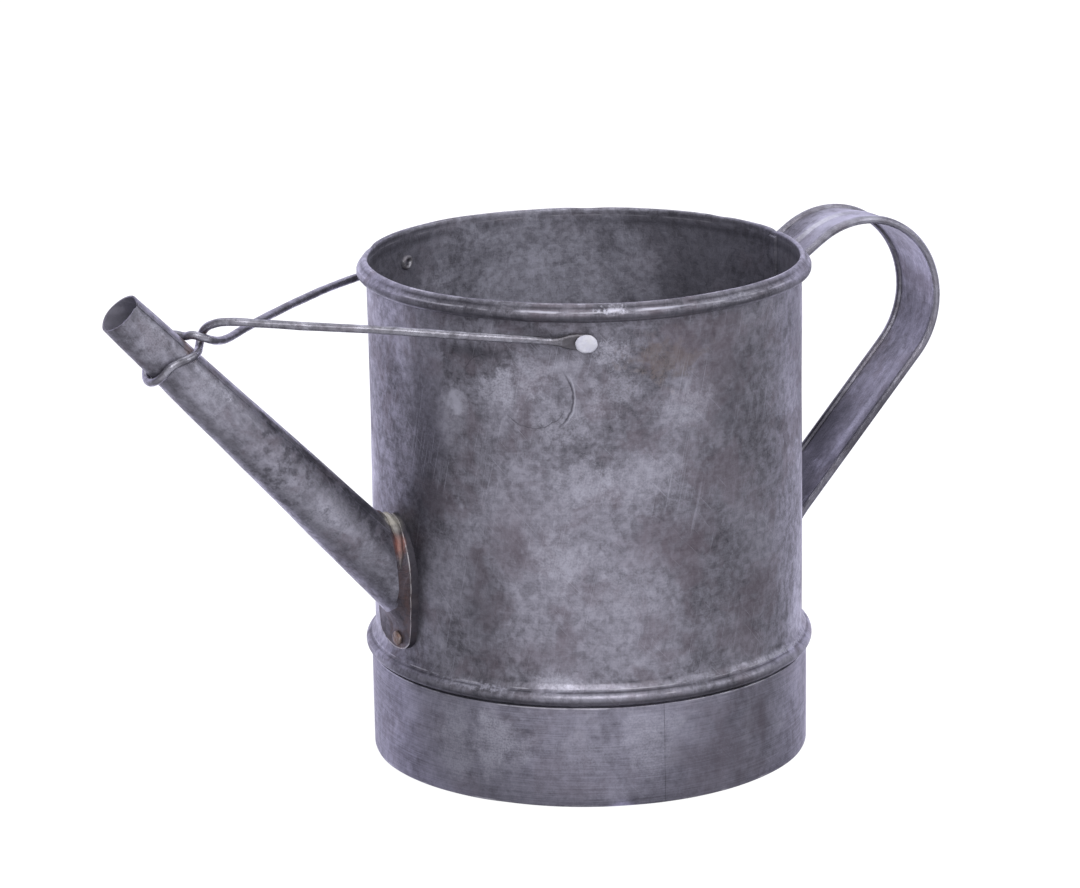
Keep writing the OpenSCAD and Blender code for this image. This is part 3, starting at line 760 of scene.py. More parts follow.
@dataclass
class Lamp:
    """One soft area lamp, aimed at the can."""

    name: str
    place: Point
    size: tuple[float, float]
    watts: float
    colour: Colour = (1.0, 1.0, 1.0)
    aim: Point = (0.0, 0.0, 0.10)

    def build(self) -> None:
        """Adds the lamp."""
        data = bpy.data.lights.new(self.name, "AREA")
        data.shape = "RECTANGLE"
        data.size, data.size_y = self.size
        data.energy = self.watts
        data.color = self.colour
        lamp = bpy.data.objects.new(self.name, data)
        bpy.context.scene.collection.objects.link(lamp)
        lamp.location = self.place
        lamp.rotation_euler = (Vector(self.aim) - Vector(self.place)).to_track_quat("-Z", "Y").to_euler()


@dataclass
class Studio:
    """The camera, the lamps, the pale floor and the white surroundings."""

    camera_place: Point = (-0.7566, -1.3650, 0.5391)
    camera_forward: Point = (0.4584, 0.8490, -0.2628)
    camera_roll: float = -0.0173114
    camera_lens: float = 144.857
    floor_size: float = 14.0
    front_way: Point = (-0.4848, -0.8746, 0.0)
    back_way: Point = (0.3530, 0.9356, 0.0)
    front_tone: float = 0.72
    side_tone: float = 0.20
    back_colour: Colour = (1.12, 1.08, 1.42)
    floor_shift: float = 0.085
    lamps: tuple[Lamp, ...] = (
        Lamp("key", (-0.9, -1.9, 1.9), (2.4, 1.8), 34.0, (1.0, 0.99, 1.0)),
        Lamp("fill", (1.6, -1.2, 1.1), (1.4, 1.4), 11.0, (0.96, 0.97, 1.0)),
        Lamp("over", (0.1, 0.5, 2.2), (2.2, 1.8), 16.0, (0.95, 0.96, 1.0)),
    )

    def build(self) -> None:
        """Makes all of it."""
        self._camera()
        self.room = self._room_tone()
        self._world()
        self._floor()
        for lamp in self.lamps:
            lamp.build()

    def _camera(self) -> None:
        """Places the camera and makes it the scene's own."""
        data = bpy.data.cameras.new("camera")
        data.sensor_fit = "HORIZONTAL"
        data.sensor_width = 36.0
        data.lens = self.camera_lens
        data.clip_start, data.clip_end = 0.05, 60.0
        camera = bpy.data.objects.new("camera", data)
        bpy.context.scene.collection.objects.link(camera)
        forward = Vector(self.camera_forward).normalized()
        right = forward.cross(Vector((0.0, 0.0, 1.0))).normalized()
        up = right.cross(forward)
        turn = math.cos(self.camera_roll), math.sin(self.camera_roll)
        level = right * turn[0] + up * turn[1]
        upright = up * turn[0] - right * turn[1]
        camera.matrix_world = Matrix(
            (
                (level.x, upright.x, -forward.x, self.camera_place[0]),
                (level.y, upright.y, -forward.y, self.camera_place[1]),
                (level.z, upright.z, -forward.z, self.camera_place[2]),
                (0.0, 0.0, 0.0, 1.0),
            )
        )
        bpy.context.scene.camera = camera

    def _room_tone(self) -> Any:
        """What metal mirrors each way round: the white back, two dark sides and the lit front.

        Returns:
            A group from a direction, or a place on the floor, to a brightness.
        """
        g = Group("room_tone", "Color")
        way = g.vector_math("NORMALIZE", g.vector_math("MULTIPLY", g.got["Vector"], (1.0, 1.0, 0.0)))
        front = g.vector_math("DOT_PRODUCT", way, self.front_way)
        back = g.vector_math("DOT_PRODUCT", way, self.back_way)
        tone = g.ramp(front, 0.05, 0.80, self.side_tone, self.front_tone)
        lit = g.mix(tone, (0.0, 0.0, 0.0), (0.96, 0.955, 1.0))
        behind = g.ramp(back, 0.30, 0.80, 0.0, 1.0)
        return g.put(g.mix(behind, lit, self.back_colour))

    def _world(self) -> None:
        """White where it is looked at, with a white back and darker sides where it is only reflected."""
        world = bpy.data.worlds.new("white_room")
        bpy.context.scene.world = world
        g = fresh_graph(world)
        ray = g.add("LightPath").outputs
        seen = g.math("MAXIMUM", ray["Is Camera Ray"], ray["Is Transmission Ray"])
        way = g.add("TexCoord").outputs["Generated"]
        room = g.add("Group", {"Vector": way}, node_tree=self.room)
        above = g.ramp(g.add("SeparateXYZ", {0: way}).outputs[2], 0.35, 0.9, 0.0, 1.0)
        high = g.mix(above, room.outputs[0], (0.50, 0.50, 0.53))
        around = g.mix(ray["Is Glossy Ray"], (0.45, 0.45, 0.47), high)
        shade = g.add("Background", {"Color": around, "Strength": 1.0})
        white = g.add("Background", {"Color": (1.0, 1.0, 1.0), "Strength": 1.0})
        mixed = g.add("MixShader", {0: seen, 1: shade.outputs[0], 2: white.outputs[0]})
        g.add("OutputWorld", {"Surface": mixed.outputs[0]})

    def _floor(self) -> None:
        """A pale floor that runs into the white and keeps a faint shadow."""
        bpy.ops.mesh.primitive_plane_add(size=self.floor_size, location=(0.0, 0.0, -0.0002))
        floor = bpy.context.object
        floor.name = "floor"
        material = bpy.data.materials.new("pale_floor")
        g = fresh_graph(material)
        ray = g.add("LightPath").outputs
        seen = g.math("MAXIMUM", ray["Is Camera Ray"], ray["Is Transmission Ray"])
        nearer = Vector(self.back_way) * self.floor_shift
        spot = g.vector_math("ADD", g.add("TexCoord").outputs["Object"], nearer)
        room = g.add("Group", {"Vector": spot}, node_tree=self.room)
        glow = g.math("MAXIMUM", g.math("MULTIPLY", seen, 0.90), ray["Is Glossy Ray"])
        tint = g.mix(ray["Is Glossy Ray"], (1.0, 1.0, 1.0), room.outputs[0])
        light = g.add("Emission", {"Color": tint, "Strength": glow})
        chalk = g.add("BsdfDiffuse", {"Color": (0.30, 0.30, 0.31)})
        both = g.add("AddShader", {0: light.outputs[0], 1: chalk.outputs[0]})
        g.add("OutputMaterial", {"Surface": both.outputs[0]})
        floor.data.materials.append(material)


# ---------------------------------------------------------------- bench work


def only(obj: Any) -> Any:
    """Selects one object and nothing else, and returns it."""
    bpy.ops.object.select_all(action="DESELECT")
    obj.select_set(True)
    bpy.context.view_layer.objects.active = obj
    return obj


def settle(name: str) -> Any:
    """Names the new object, moves its place and turn into its mesh, and returns it."""
    obj = bpy.context.object
    obj.name = name
    obj.data.name = name
    bpy.ops.object.transform_apply(location=True, rotation=True, scale=True)
    return obj


def pick(obj: Any, test: Callable[[Vector], bool], faces: bool = False) -> None:
    """Selects vertices, or faces by their centre, in edit mode.

    Args:
        obj: the object in edit mode.
        test: says whether a place is wanted.
        faces: selects faces instead of vertices.
    """
    bpy.ops.mesh.select_mode(type="FACE" if faces else "VERT")
    bpy.ops.mesh.select_all(action="DESELECT")
    mesh = bmesh.from_edit_mesh(obj.data)
    for part in mesh.faces if faces else mesh.verts:
        if test(part.calc_center_median() if faces else part.co):
            part.select_set(True)
    mesh.select_flush_mode()
    bmesh.update_edit_mesh(obj.data)


def draw_outline(name: str, points: Sequence[Vector]) -> Any:
    """Draws a line of edges from point to point, and leaves it in edit mode.

    Args:
        name: the piece's name.
        points: the places of its vertices.

    Returns:
        The object.
    """
    bpy.ops.object.select_all(action="DESELECT")
    bpy.ops.mesh.primitive_plane_add(size=MM, location=points[0])
    obj = settle(name)
    bpy.ops.object.mode_set(mode="EDIT")
    bpy.ops.mesh.select_mode(type="VERT")
    bpy.ops.mesh.select_all(action="SELECT")
    bpy.ops.mesh.merge(type="CENTER")
    for here, there in zip(points, points[1:]):
        bpy.ops.mesh.extrude_region_move(TRANSFORM_OT_translate={"value": there - here})
    return obj


def draw_ring(name: str, points: Sequence[Vector]) -> Any:
    """Draws a closed line of edges, leaves it selected in edit mode, and returns it."""
    obj = draw_outline(name, [*points, points[0]])
    bpy.ops.mesh.select_all(action="SELECT")
    bpy.ops.mesh.remove_doubles(threshold=CLOSE_REACH)
    return obj


def extrude_to(obj: Any, moved: Callable[[Vector], Vector]) -> None:
    """Extrudes the selected line in edit mode, and puts each new vertex where it belongs.

    Args:
        obj: the piece in edit mode.
        moved: from the place of an old vertex to the place of the new one.
    """
    bpy.ops.mesh.extrude_region_move(TRANSFORM_OT_translate={"value": (0.0, 0.0, 0.0)})
    mesh = bmesh.from_edit_mesh(obj.data)
    for vertex in mesh.verts:
        if vertex.select:
            vertex.co = moved(vertex.co)
    bmesh.update_edit_mesh(obj.data)


def turn_round(steps: int, angle: float = math.tau) -> None:
    """Spins the drawn outline about the can's axis, in edit mode, and closes it."""
    bpy.ops.mesh.select_all(action="SELECT")
    bpy.ops.mesh.spin(steps=steps, angle=angle, center=(0.0, 0.0, 0.0), axis=(0.0, 0.0, 1.0))
    clean()


def clean(reach: float = 0.01 * MM) -> None:
    """Merges vertices nearer than the reach and turns all faces outwards, in edit mode."""
    bpy.ops.mesh.select_all(action="SELECT")
    bpy.ops.mesh.remove_doubles(threshold=reach)
    bpy.ops.mesh.normals_make_consistent(inside=False)


def finish_mesh(obj: Any, angle: float) -> None:
    """Leaves edit mode and shades the piece smooth up to an angle in degrees."""
    if bpy.context.object.mode == "EDIT":
        bpy.ops.object.mode_set(mode="OBJECT")
    only(obj)
    bpy.ops.object.shade_smooth_by_angle(angle=math.radians(angle))


def work(obj: Any, kind: str, **settings: Any) -> None:
    """Adds a modifier with its settings and applies it.

    Args:
        obj: the piece, in object mode.
        kind: the modifier's type.
        settings: the modifier's own options.
    """
    only(obj)
    modifier = obj.modifiers.new(kind.lower(), kind)
    for key, value in settings.items():
        setattr(modifier, key, value)
    bpy.ops.object.modifier_apply(modifier=modifier.name)


def warp(obj: Any, strength: float, size: float, group: str = "") -> None:
    """Gives thin metal the soft unevenness of use, both of its sides together.

    Args:
        obj: the piece, in object mode.
        strength: how far it moves, side to side, in metres.
        size: how wide one wave is, in metres.
        group: the vertex group that holds it back, if any.
    """
    texture = bpy.data.textures.new(f"{obj.name}_waves", "CLOUDS")
    texture.cloud_type = "COLOR"
    texture.noise_scale = size
    texture.noise_depth = 2
    work(
        obj, "DISPLACE", texture=texture, texture_coords="LOCAL", direction="RGB_TO_XYZ",
        strength=strength, mid_level=0.5, vertex_group=group,
    )


def push(
    obj: Any, place: Vector, move: Vector, reach: float, falloff: str = "SMOOTH", within: float = 1.2 * MM
) -> None:
    """Pushes the metal at one place, in edit mode, with its surroundings.

    Args:
        obj: the piece in edit mode.
        place: the middle of the dent.
        move: how far and which way it goes.
        reach: how far round it the metal follows.
        falloff: how it dies away.
        within: how near to the place the metal moves fully.
    """
    near = min((v.co - place).length for v in bmesh.from_edit_mesh(obj.data).verts)
    pick(obj, lambda co: (co - place).length <= max(within, near + 0.02 * MM))
    bpy.ops.transform.translate(
        value=move, use_proportional_edit=True, proportional_edit_falloff=falloff, proportional_size=reach
    )


def on_wall(bearing: float, height: float, radius: float = 80.0) -> Vector:
    """The place on the wall at a bearing in degrees from the handle, with millimetres for the rest."""
    turn = math.radians(bearing)
    return Vector((radius * math.cos(turn), radius * math.sin(turn), height)) * MM


def outward(place: Vector) -> Vector:
    """The level direction from the can's axis to a place."""
    return Vector((place.x, place.y, 0.0)).normalized()


def arc(
    centre: tuple[float, float], radius: float, start: float, end: float, steps: int
) -> list[tuple[float, float]]:
    """Points on an arc in a section, in millimetres, with its angles in degrees."""
    turns = [math.radians(start + (end - start) * i / steps) for i in range(steps + 1)]
    return [(centre[0] + radius * math.cos(turn), centre[1] + radius * math.sin(turn)) for turn in turns]


def last_within(low: float, high: float, within: Callable[[float], bool]) -> float:
    """Halves a range until it finds how far something holds.

    Args:
        low: where it holds.
        high: where it no longer does.
        within: says whether it holds at a value.

    Returns:
        The last value at which it holds.
    """
    for _ in range(HALVINGS):
        middle = (low + high) / 2
        low, high = (middle, high) if within(middle) else (low, middle)
    return low


def dress(obj: Any, material: Any) -> None:
    """Gives a piece one material.

    Args:
        obj: the piece or CAD node.
        material: its finish.
    """
    obj.data.materials.clear()
    obj.data.materials.append(material)
    log.info("%s is finished in %s", obj.name, material.name)


def place_piece(obj: Any, material: Any, slot: str, *nodes: str) -> None:
    """Dresses a new piece, fixes it to the can and lets it stand for its CAD nodes.

    Args:
        obj: the piece.
        material: its finish.
        slot: the record's material slot; not used.
        nodes: the CAD nodes that it stands for.
    """
    dress(obj, material)
    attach(obj, "root")
    if nodes:
        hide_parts(*nodes)


# ---------------------------------------------------------------- the can


@dataclass(frozen=True)
class Dent:
    """One dent: where it is, how deep and how wide, in millimetres and degrees."""

    bearing: float
    height: float
    depth: float
    reach: float
    falloff: str = "SMOOTH"
    radius: float = 80.0
    lift: float = 0.0

    def press(self, obj: Any) -> None:
        """Presses the dent into a piece in edit mode."""
        place = on_wall(self.bearing, self.height, self.radius)
        move = outward(place) * -self.depth * MM + Vector((0.0, 0.0, self.lift * MM))
        push(obj, place, move, self.reach * MM, self.falloff)


@dataclass
class CanBody:
    """The pail: one sheet with a wired rim, a lock seam inside and a rolled bead above the foot."""

    wall: float = 80.0
    sheet: float = 0.6
    foot: float = 1.0
    steps: int = 288
    row: float = 4.0
    plain: tuple[float, float] = (48.5, 178.5)
    bead: tuple[float, float] = (81.1, 41.0)
    bead_radius: float = 2.6
    hem: tuple[float, float] = (81.55, 182.2)
    hem_radius: float = 2.15
    crest: float = 186.6
    widest: float = 83.68
    seam_bearing: float = -3.3
    dents: tuple[Dent, ...] = (
        Dent(-130.8, 152.5, 0.75, 15.0, "SPHERE"),
        Dent(-121.9, 155.0, -0.35, 3.5),
        Dent(-122.8, 149.5, -0.30, 3.5),
        Dent(-152.0, 147.0, 0.50, 18.0),
        Dent(-105.0, 121.0, 0.35, 22.0),
        Dent(-92.0, 140.0, 0.30, 16.0),
        Dent(-148.0, 98.0, 0.40, 20.0),
        Dent(-75.0, 90.0, 0.35, 24.0),
        Dent(35.0, 110.0, 0.60, 22.0),
        Dent(95.0, 70.0, 0.55, 20.0),
        Dent(128.0, 140.0, 0.45, 26.0),
        Dent(-165.0, 130.0, 0.35, 14.0),
        Dent(-112.0, 184.6, 0.45, 5.0, radius=82.8, lift=-0.2),
        Dent(-108.5, 184.2, -0.30, 4.0, radius=83.0, lift=0.15),
        Dent(-104.0, 184.6, 0.35, 4.5, radius=82.8, lift=-0.15),
        Dent(-90.0, 184.8, 0.45, 7.0, radius=82.7, lift=-0.2),
        Dent(-82.0, 184.0, -0.25, 5.0, radius=83.0, lift=0.1),
        Dent(-77.0, 184.8, 0.50, 6.0, radius=82.7, lift=-0.25),
        Dent(-133.0, 184.6, 0.35, 7.0, radius=82.8, lift=-0.15),
        Dent(-150.0, 184.6, 0.40, 9.0, radius=82.8, lift=-0.2),
        Dent(140.0, 184.6, 0.45, 8.0, radius=82.8, lift=-0.2),
        Dent(60.0, 184.6, 0.50, 9.0, radius=82.8, lift=-0.25),
        Dent(20.0, 184.6, 0.40, 7.0, radius=82.8, lift=-0.2),
        Dent(-60.0, 41.5, 0.45, 8.0, radius=83.7),
        Dent(-118.0, 41.5, 0.30, 9.0, radius=83.7),
        Dent(-98.0, 41.0, 0.35, 6.0, radius=83.7),
    )

    def section(self) -> list[tuple[float, float]]:
        """The sheet's section from its lower edge, up the outside, over the rim and down the inside.

        Returns:
            Radius and height pairs in millimetres, closed.
        """
        wall, inner = self.wall, self.wall - self.sheet
        low, high = self.plain
        rows = round((high - low) / self.row)
        points = [(wall - 0.1, self.foot), (wall, self.foot + 0.2), (wall, 20.0), (wall, 37.9)]
        points += arc(self.bead, self.bead_radius, -112.0, 64.0, 18)
        points += [(81.75, 43.75), (81.42, 43.95), (81.38, 44.35), (81.22, 44.75)]
        points += [(80.86, 45.2), (80.42, 45.9), (80.1, 46.8)]
        points += [(wall, low + (high - low) * i / rows) for i in range(rows + 1)]
        points += [(wall, 179.4), (wall + 0.02, 179.95), (80.2, 180.12)]
        points += arc(self.hem, self.hem_radius, -118.0, 50.0, 16)
        points += [(82.55, 184.35), (82.0, 185.1), (81.5, 185.75), (81.05, 186.3), (80.6, self.crest)]
        points += [(80.1, self.crest), (79.65, 186.35), (inner, 185.9), (inner, 184.6), (inner, 181.5)]
        points += [(inner, high - (high - low) * i / rows) for i in range(rows + 1)]
        points += [(inner, 46.0), (inner, 43.4)]
        points += arc(self.bead, self.bead_radius - self.sheet, 140.0, -140.0, 12)
        points += [(inner, 38.0), (inner, 20.0), (inner, self.foot + 0.1), (wall - 0.1, self.foot)]
        return points

    def build(self, cutter: Any) -> Any:
        """Models the pail.

        Args:
            cutter: the shape of the spout's root, taken out of the wall and then removed.

        Returns:
            The piece.
        """
        column = math.tau / self.steps
        seam = math.radians(self.seam_bearing)
        turned = Matrix.Rotation(seam + column * 1.5, 3, "Z")
        body = draw_outline("can_body", [turned @ Vector((r, 0.0, z)) * MM for r, z in self.section()])
        turn_round(self.steps)

        def in_seam(co: Vector) -> bool:
            """Whether a place on the inside lies in the lock seam."""
            return (
                math.hypot(co.x, co.y) < (self.wall - self.sheet * 0.5) * MM
                and 49.0 * MM < co.z < 185.0 * MM
                and abs(math.atan2(co.y, co.x) - seam) < column * 1.6
            )

        pick(body, in_seam, faces=True)
        bpy.ops.mesh.inset(thickness=0.35 * MM, depth=0.9 * MM, use_boundary=True)
        push(body, on_wall(self.seam_bearing, self.crest, 80.4), Vector((0.0, 0.0, -0.5 * MM)), 2.6 * MM)
        for dent in self.dents:
            dent.press(body)
        bpy.ops.object.mode_set(mode="OBJECT")
        work(body, "BOOLEAN", operation="DIFFERENCE", object=cutter, solver="EXACT")
        bpy.data.objects.remove(cutter)
        held = body.vertex_groups.new(name="free")
        for vertex in body.data.vertices:
            rise = (vertex.co.z / MM - 40.0) / 40.0
            held.add([vertex.index], min(max(rise, 0.0), 1.0) * 0.9 + 0.1, "REPLACE")
        warp(body, 1.1 * MM, 55.0 * MM, "free")
        for vertex in body.data.vertices:
            over = math.hypot(vertex.co.x, vertex.co.y) / (self.widest * MM)
            if over > 1.0:
                vertex.co = (vertex.co.x / over, vertex.co.y / over, vertex.co.z)
        finish_mesh(body, 40.0)
        return body


@dataclass
class FootHoop:
    """The heavy strip round the foot, butted at one bearing."""

    inner: float = 80.05
    outer: float = 81.55
    height: float = 37.6
    joint: float = -99.9
    gap: float = 0.10
    steps: int = 240
    dents: tuple[Dent, ...] = (
        Dent(-99.0, 36.0, 0.35, 7.0, radius=outer),
        Dent(-101.2, 8.0, -0.12, 9.0, radius=outer),
        Dent(-140.0, 4.0, 0.3, 12.0, radius=outer),
        Dent(-70.0, 30.0, 0.3, 14.0, radius=outer),
        Dent(-122.0, 36.5, 0.25, 6.0, radius=outer),
        Dent(50.0, 12.0, 0.4, 16.0, radius=outer),
        Dent(170.0, 20.0, 0.35, 15.0, radius=outer),
    )

    def build(self) -> Any:
        """Models the hoop and returns it."""
        inner, outer, top = self.inner, self.outer, self.height
        section = [(inner + 0.2, 0.0), (outer - 0.35, 0.0), (outer - 0.1, 0.12), (outer, 0.4)]
        section += [(outer, top * i / 9) for i in range(1, 9)]
        section += [(outer, top - 0.45), (outer - 0.14, top - 0.12), (outer - 0.45, top), (inner + 0.2, top)]
        section += [(inner, top - 0.2), (inner, top * 0.5), (inner, 0.2), (inner + 0.2, 0.0)]
        gap = self.gap / self.outer
        turned = Matrix.Rotation(math.radians(self.joint) + gap / 2, 3, "Z")
        hoop = draw_outline("foot_band", [turned @ Vector((r, 0.0, z)) * MM for r, z in section])
        turn_round(self.steps, math.tau - gap)
        bpy.ops.mesh.select_mode(type="EDGE")
        bpy.ops.mesh.select_all(action="DESELECT")
        bpy.ops.mesh.select_non_manifold()
        bpy.ops.mesh.edge_face_add()
        clean()
        for dent in self.dents:
            dent.press(hoop)
        bpy.ops.object.mode_set(mode="OBJECT")
        warp(hoop, 0.35 * MM, 40.0 * MM)
        for vertex in hoop.data.vertices:
            vertex.co.z = max(vertex.co.z, 0.0)
        finish_mesh(hoop, 35.0)
        return hoop


@dataclass
class Spout:
    """The straight tapering tube, rolled from sheet with a lengthwise lap."""

    height: float = 76.0
    rise: float = 46.7
    length: float = 153.5
    root_radius: float = 12.5
    tip_radius: float = 8.1
    sheet: float = 0.6
    lap_from: float = -47.0
    lap_to: float = -22.0
    lap: float = 0.42
    round_steps: int = 84
    long_steps: int = 46
    first: float = 16.0
    inside: float = 77.6

    def __post_init__(self) -> None:
        """Works out the spout's own directions."""
        turn = math.radians(self.rise)
        self.along = Vector((-math.cos(turn), 0.0, math.sin(turn)))
        self.upper = Vector((math.sin(turn), 0.0, math.cos(turn)))
        self.side = Vector((0.0, 1.0, 0.0))

    def radius(self, s: float) -> float:
        """The tube's outer radius in millimetres, s along its axis from the wall."""
        return self.root_radius + (self.tip_radius - self.root_radius) * s / self.length

    def place(self, s: float, bearing: float, radius: float) -> Vector:
        """A place by the spout, in metres.

        Args:
            s: millimetres along the axis from the wall.
            bearing: degrees from the upper side towards +Y.
            radius: millimetres off the axis.

        Returns:
            The place.
        """
        turn = math.radians(bearing)
        out = self.upper * math.cos(turn) + self.side * math.sin(turn)
        return (Vector((-80.0, 0.0, self.height)) + self.along * s + out * radius) * MM

    def step(self, bearing: float) -> float:
        """How far the lap raises the surface at a bearing, in millimetres."""
        if not self.lap_from <= bearing <= self.lap_to:
            return 0.0
        return self.lap * min(1.0, (self.lap_to - bearing) / 14.0)

    def bearings(self) -> list[float]:
        """The bearings of one ring's vertices, closer together at the lap's edge."""
        plain = [-180.0 + 360.0 * i / self.round_steps for i in range(self.round_steps)]
        plain = [b for b in plain if abs(b - self.lap_from) > 2.2]
        return sorted([*plain, *(self.lap_from + shift for shift in (-1.6, -0.1, 0.1, 2.0))])

    def root(self, bearing: float, reach: float) -> float:
        """How far along the axis the tube's line at a bearing is when it meets a round wall."""

        def in_wall(s: float) -> bool:
            """Whether the tube's line is still inside the round wall at s."""
            place = self.place(s, bearing, self.radius(s) + self.step(bearing)) / MM
            return math.hypot(place.x, place.y) < reach

        return last_within(-40.0, 40.0, in_wall)

    def cutter(self) -> Any:
        """A cone that takes the hole for the spout out of the wall, and returns it."""
        bpy.ops.object.select_all(action="DESELECT")
        half = 14.0
        bpy.ops.mesh.primitive_cone_add(
            vertices=72, radius1=(self.radius(-half) - 0.3) * MM, radius2=(self.radius(half) - 0.3) * MM,
            depth=2 * half * MM, location=self.place(0.0, 0.0, 0.0),
            rotation=self.along.to_track_quat("Z", "Y").to_euler(),
        )
        return settle("spout_hole")

    def build(self) -> Any:
        """Models the tube and returns it."""
        first = self.first
        tube = draw_ring(
            "spout_pipe", [self.place(first, b, self.radius(first) + self.step(b)) for b in self.bearings()]
        )
        pitch = (self.length - first) / self.long_steps
        for index in range(self.long_steps):
            s = first + pitch * index
            bpy.ops.mesh.extrude_region_move(TRANSFORM_OT_translate={"value": self.along * pitch * MM})
            shrink = self.radius(s + pitch) / self.radius(s)
            bpy.ops.transform.resize(value=(shrink,) * 3, center_override=self.place(s + pitch, 0.0, 0.0))
        start = self.place(first, 0.0, 0.0)
        pick(tube, lambda co: abs((co - start).dot(self.along)) < 0.01 * MM)

        def towards_wall(co: Vector, share: float) -> Vector:
            """Where a vertex of the root goes, at a share of the way from the first ring to the wall."""
            off = co - start
            bearing = math.degrees(math.atan2(off.dot(self.side), off.dot(self.upper)))
            s = first + (self.root(bearing, self.inside) - first) * share
            return self.place(s, bearing, self.radius(s) + self.step(bearing))

        for share in (0.35, 0.7, 1.0):
            extrude_to(tube, lambda co: towards_wall(co, share))
        clean(CLOSE_REACH)
        tip = self.place(self.length, self.lap_from, self.tip_radius)
        push(tube, tip, -self.along * 0.7 * MM, 1.6 * MM, "SMOOTH", 0.4 * MM)
        push(tube, self.place(self.length, 150.0, self.tip_radius), -self.along * 0.35 * MM, 6.0 * MM)
        push(tube, self.place(self.length, 60.0, self.tip_radius), self.upper * -0.35 * MM, 7.0 * MM)
        bpy.ops.object.mode_set(mode="OBJECT")
        warp(tube, 0.5 * MM, 26.0 * MM)
        work(tube, "SOLIDIFY", thickness=self.sheet * MM, offset=-1.0, use_even_offset=True)
        lining = tube.data.attributes.new("lining", "FLOAT", "POINT")
        root = self.place(0.0, 0.0, 0.0)
        for vertex in tube.data.vertices:
            off = vertex.co - root
            s = off.dot(self.along)
            reach = (off - self.along * s).length / MM
            lining.data[vertex.index].value = float(reach < self.radius(s / MM) - self.sheet * 0.6)
        finish_mesh(tube, 38.0)
        return tube


@dataclass(frozen=True)
class Rivet:
    """One hammered rivet in millimetres: its head as seen, and how far behind its seat it is clenched."""

    wide: float
    tall: float
    high: float
    tail: float = 0.0
    clench: tuple[float, float] = (2.3, 0.95)

    def build(self, name: str, place: Vector, out: Vector) -> Any:
        """Models the rivet.

        Args:
            name: the piece's name.
            place: the middle of its seat, in metres.
            out: the way the head faces.

        Returns:
            The piece.
        """
        wide, high = self.wide * MM, self.high * MM
        bpy.ops.object.select_all(action="DESELECT")
        bpy.ops.mesh.primitive_cylinder_add(vertices=32, radius=wide / 2, depth=high, end_fill_type="NGON")
        head = settle(name)
        bpy.ops.object.mode_set(mode="EDIT")
        pick(head, lambda co: co.z > high * 0.49, faces=True)
        for step_in, step_up in ((0.10, 0.22), (0.14, 0.08)):
            bpy.ops.mesh.inset(thickness=wide * step_in)
            bpy.ops.transform.translate(value=(0.0, 0.0, high * step_up))
        bpy.ops.mesh.inset(thickness=wide * 0.12)
        bpy.ops.mesh.poke()
        bpy.ops.mesh.select_all(action="SELECT")
        bpy.ops.mesh.normals_make_consistent(inside=False)
        bpy.ops.object.mode_set(mode="OBJECT")
        work(head, "SUBSURF", levels=2, render_levels=2)
        if self.tail:
            bpy.ops.object.select_all(action="DESELECT")
            bpy.ops.mesh.primitive_torus_add(
                major_segments=32, minor_segments=12, major_radius=self.clench[0] * MM,
                minor_radius=self.clench[1] * MM, location=(0.0, 0.0, -self.tail * MM),
            )
            settle(name + "_ring")
            head.select_set(True)
            bpy.context.view_layer.objects.active = head
            bpy.ops.object.join()
        only(head)
        head.scale = (1.0, self.tall / self.wide, 1.0)
        bpy.ops.object.transform_apply(location=False, rotation=False, scale=True)
        head.rotation_euler = out.to_track_quat("Z", "Y").to_euler()
        head.location = place + out * high * 0.45
        bpy.ops.object.transform_apply(location=True, rotation=True, scale=True)
        warp(head, 0.55 * MM, 3.2 * MM)
        finish_mesh(head, 50.0)
        return head


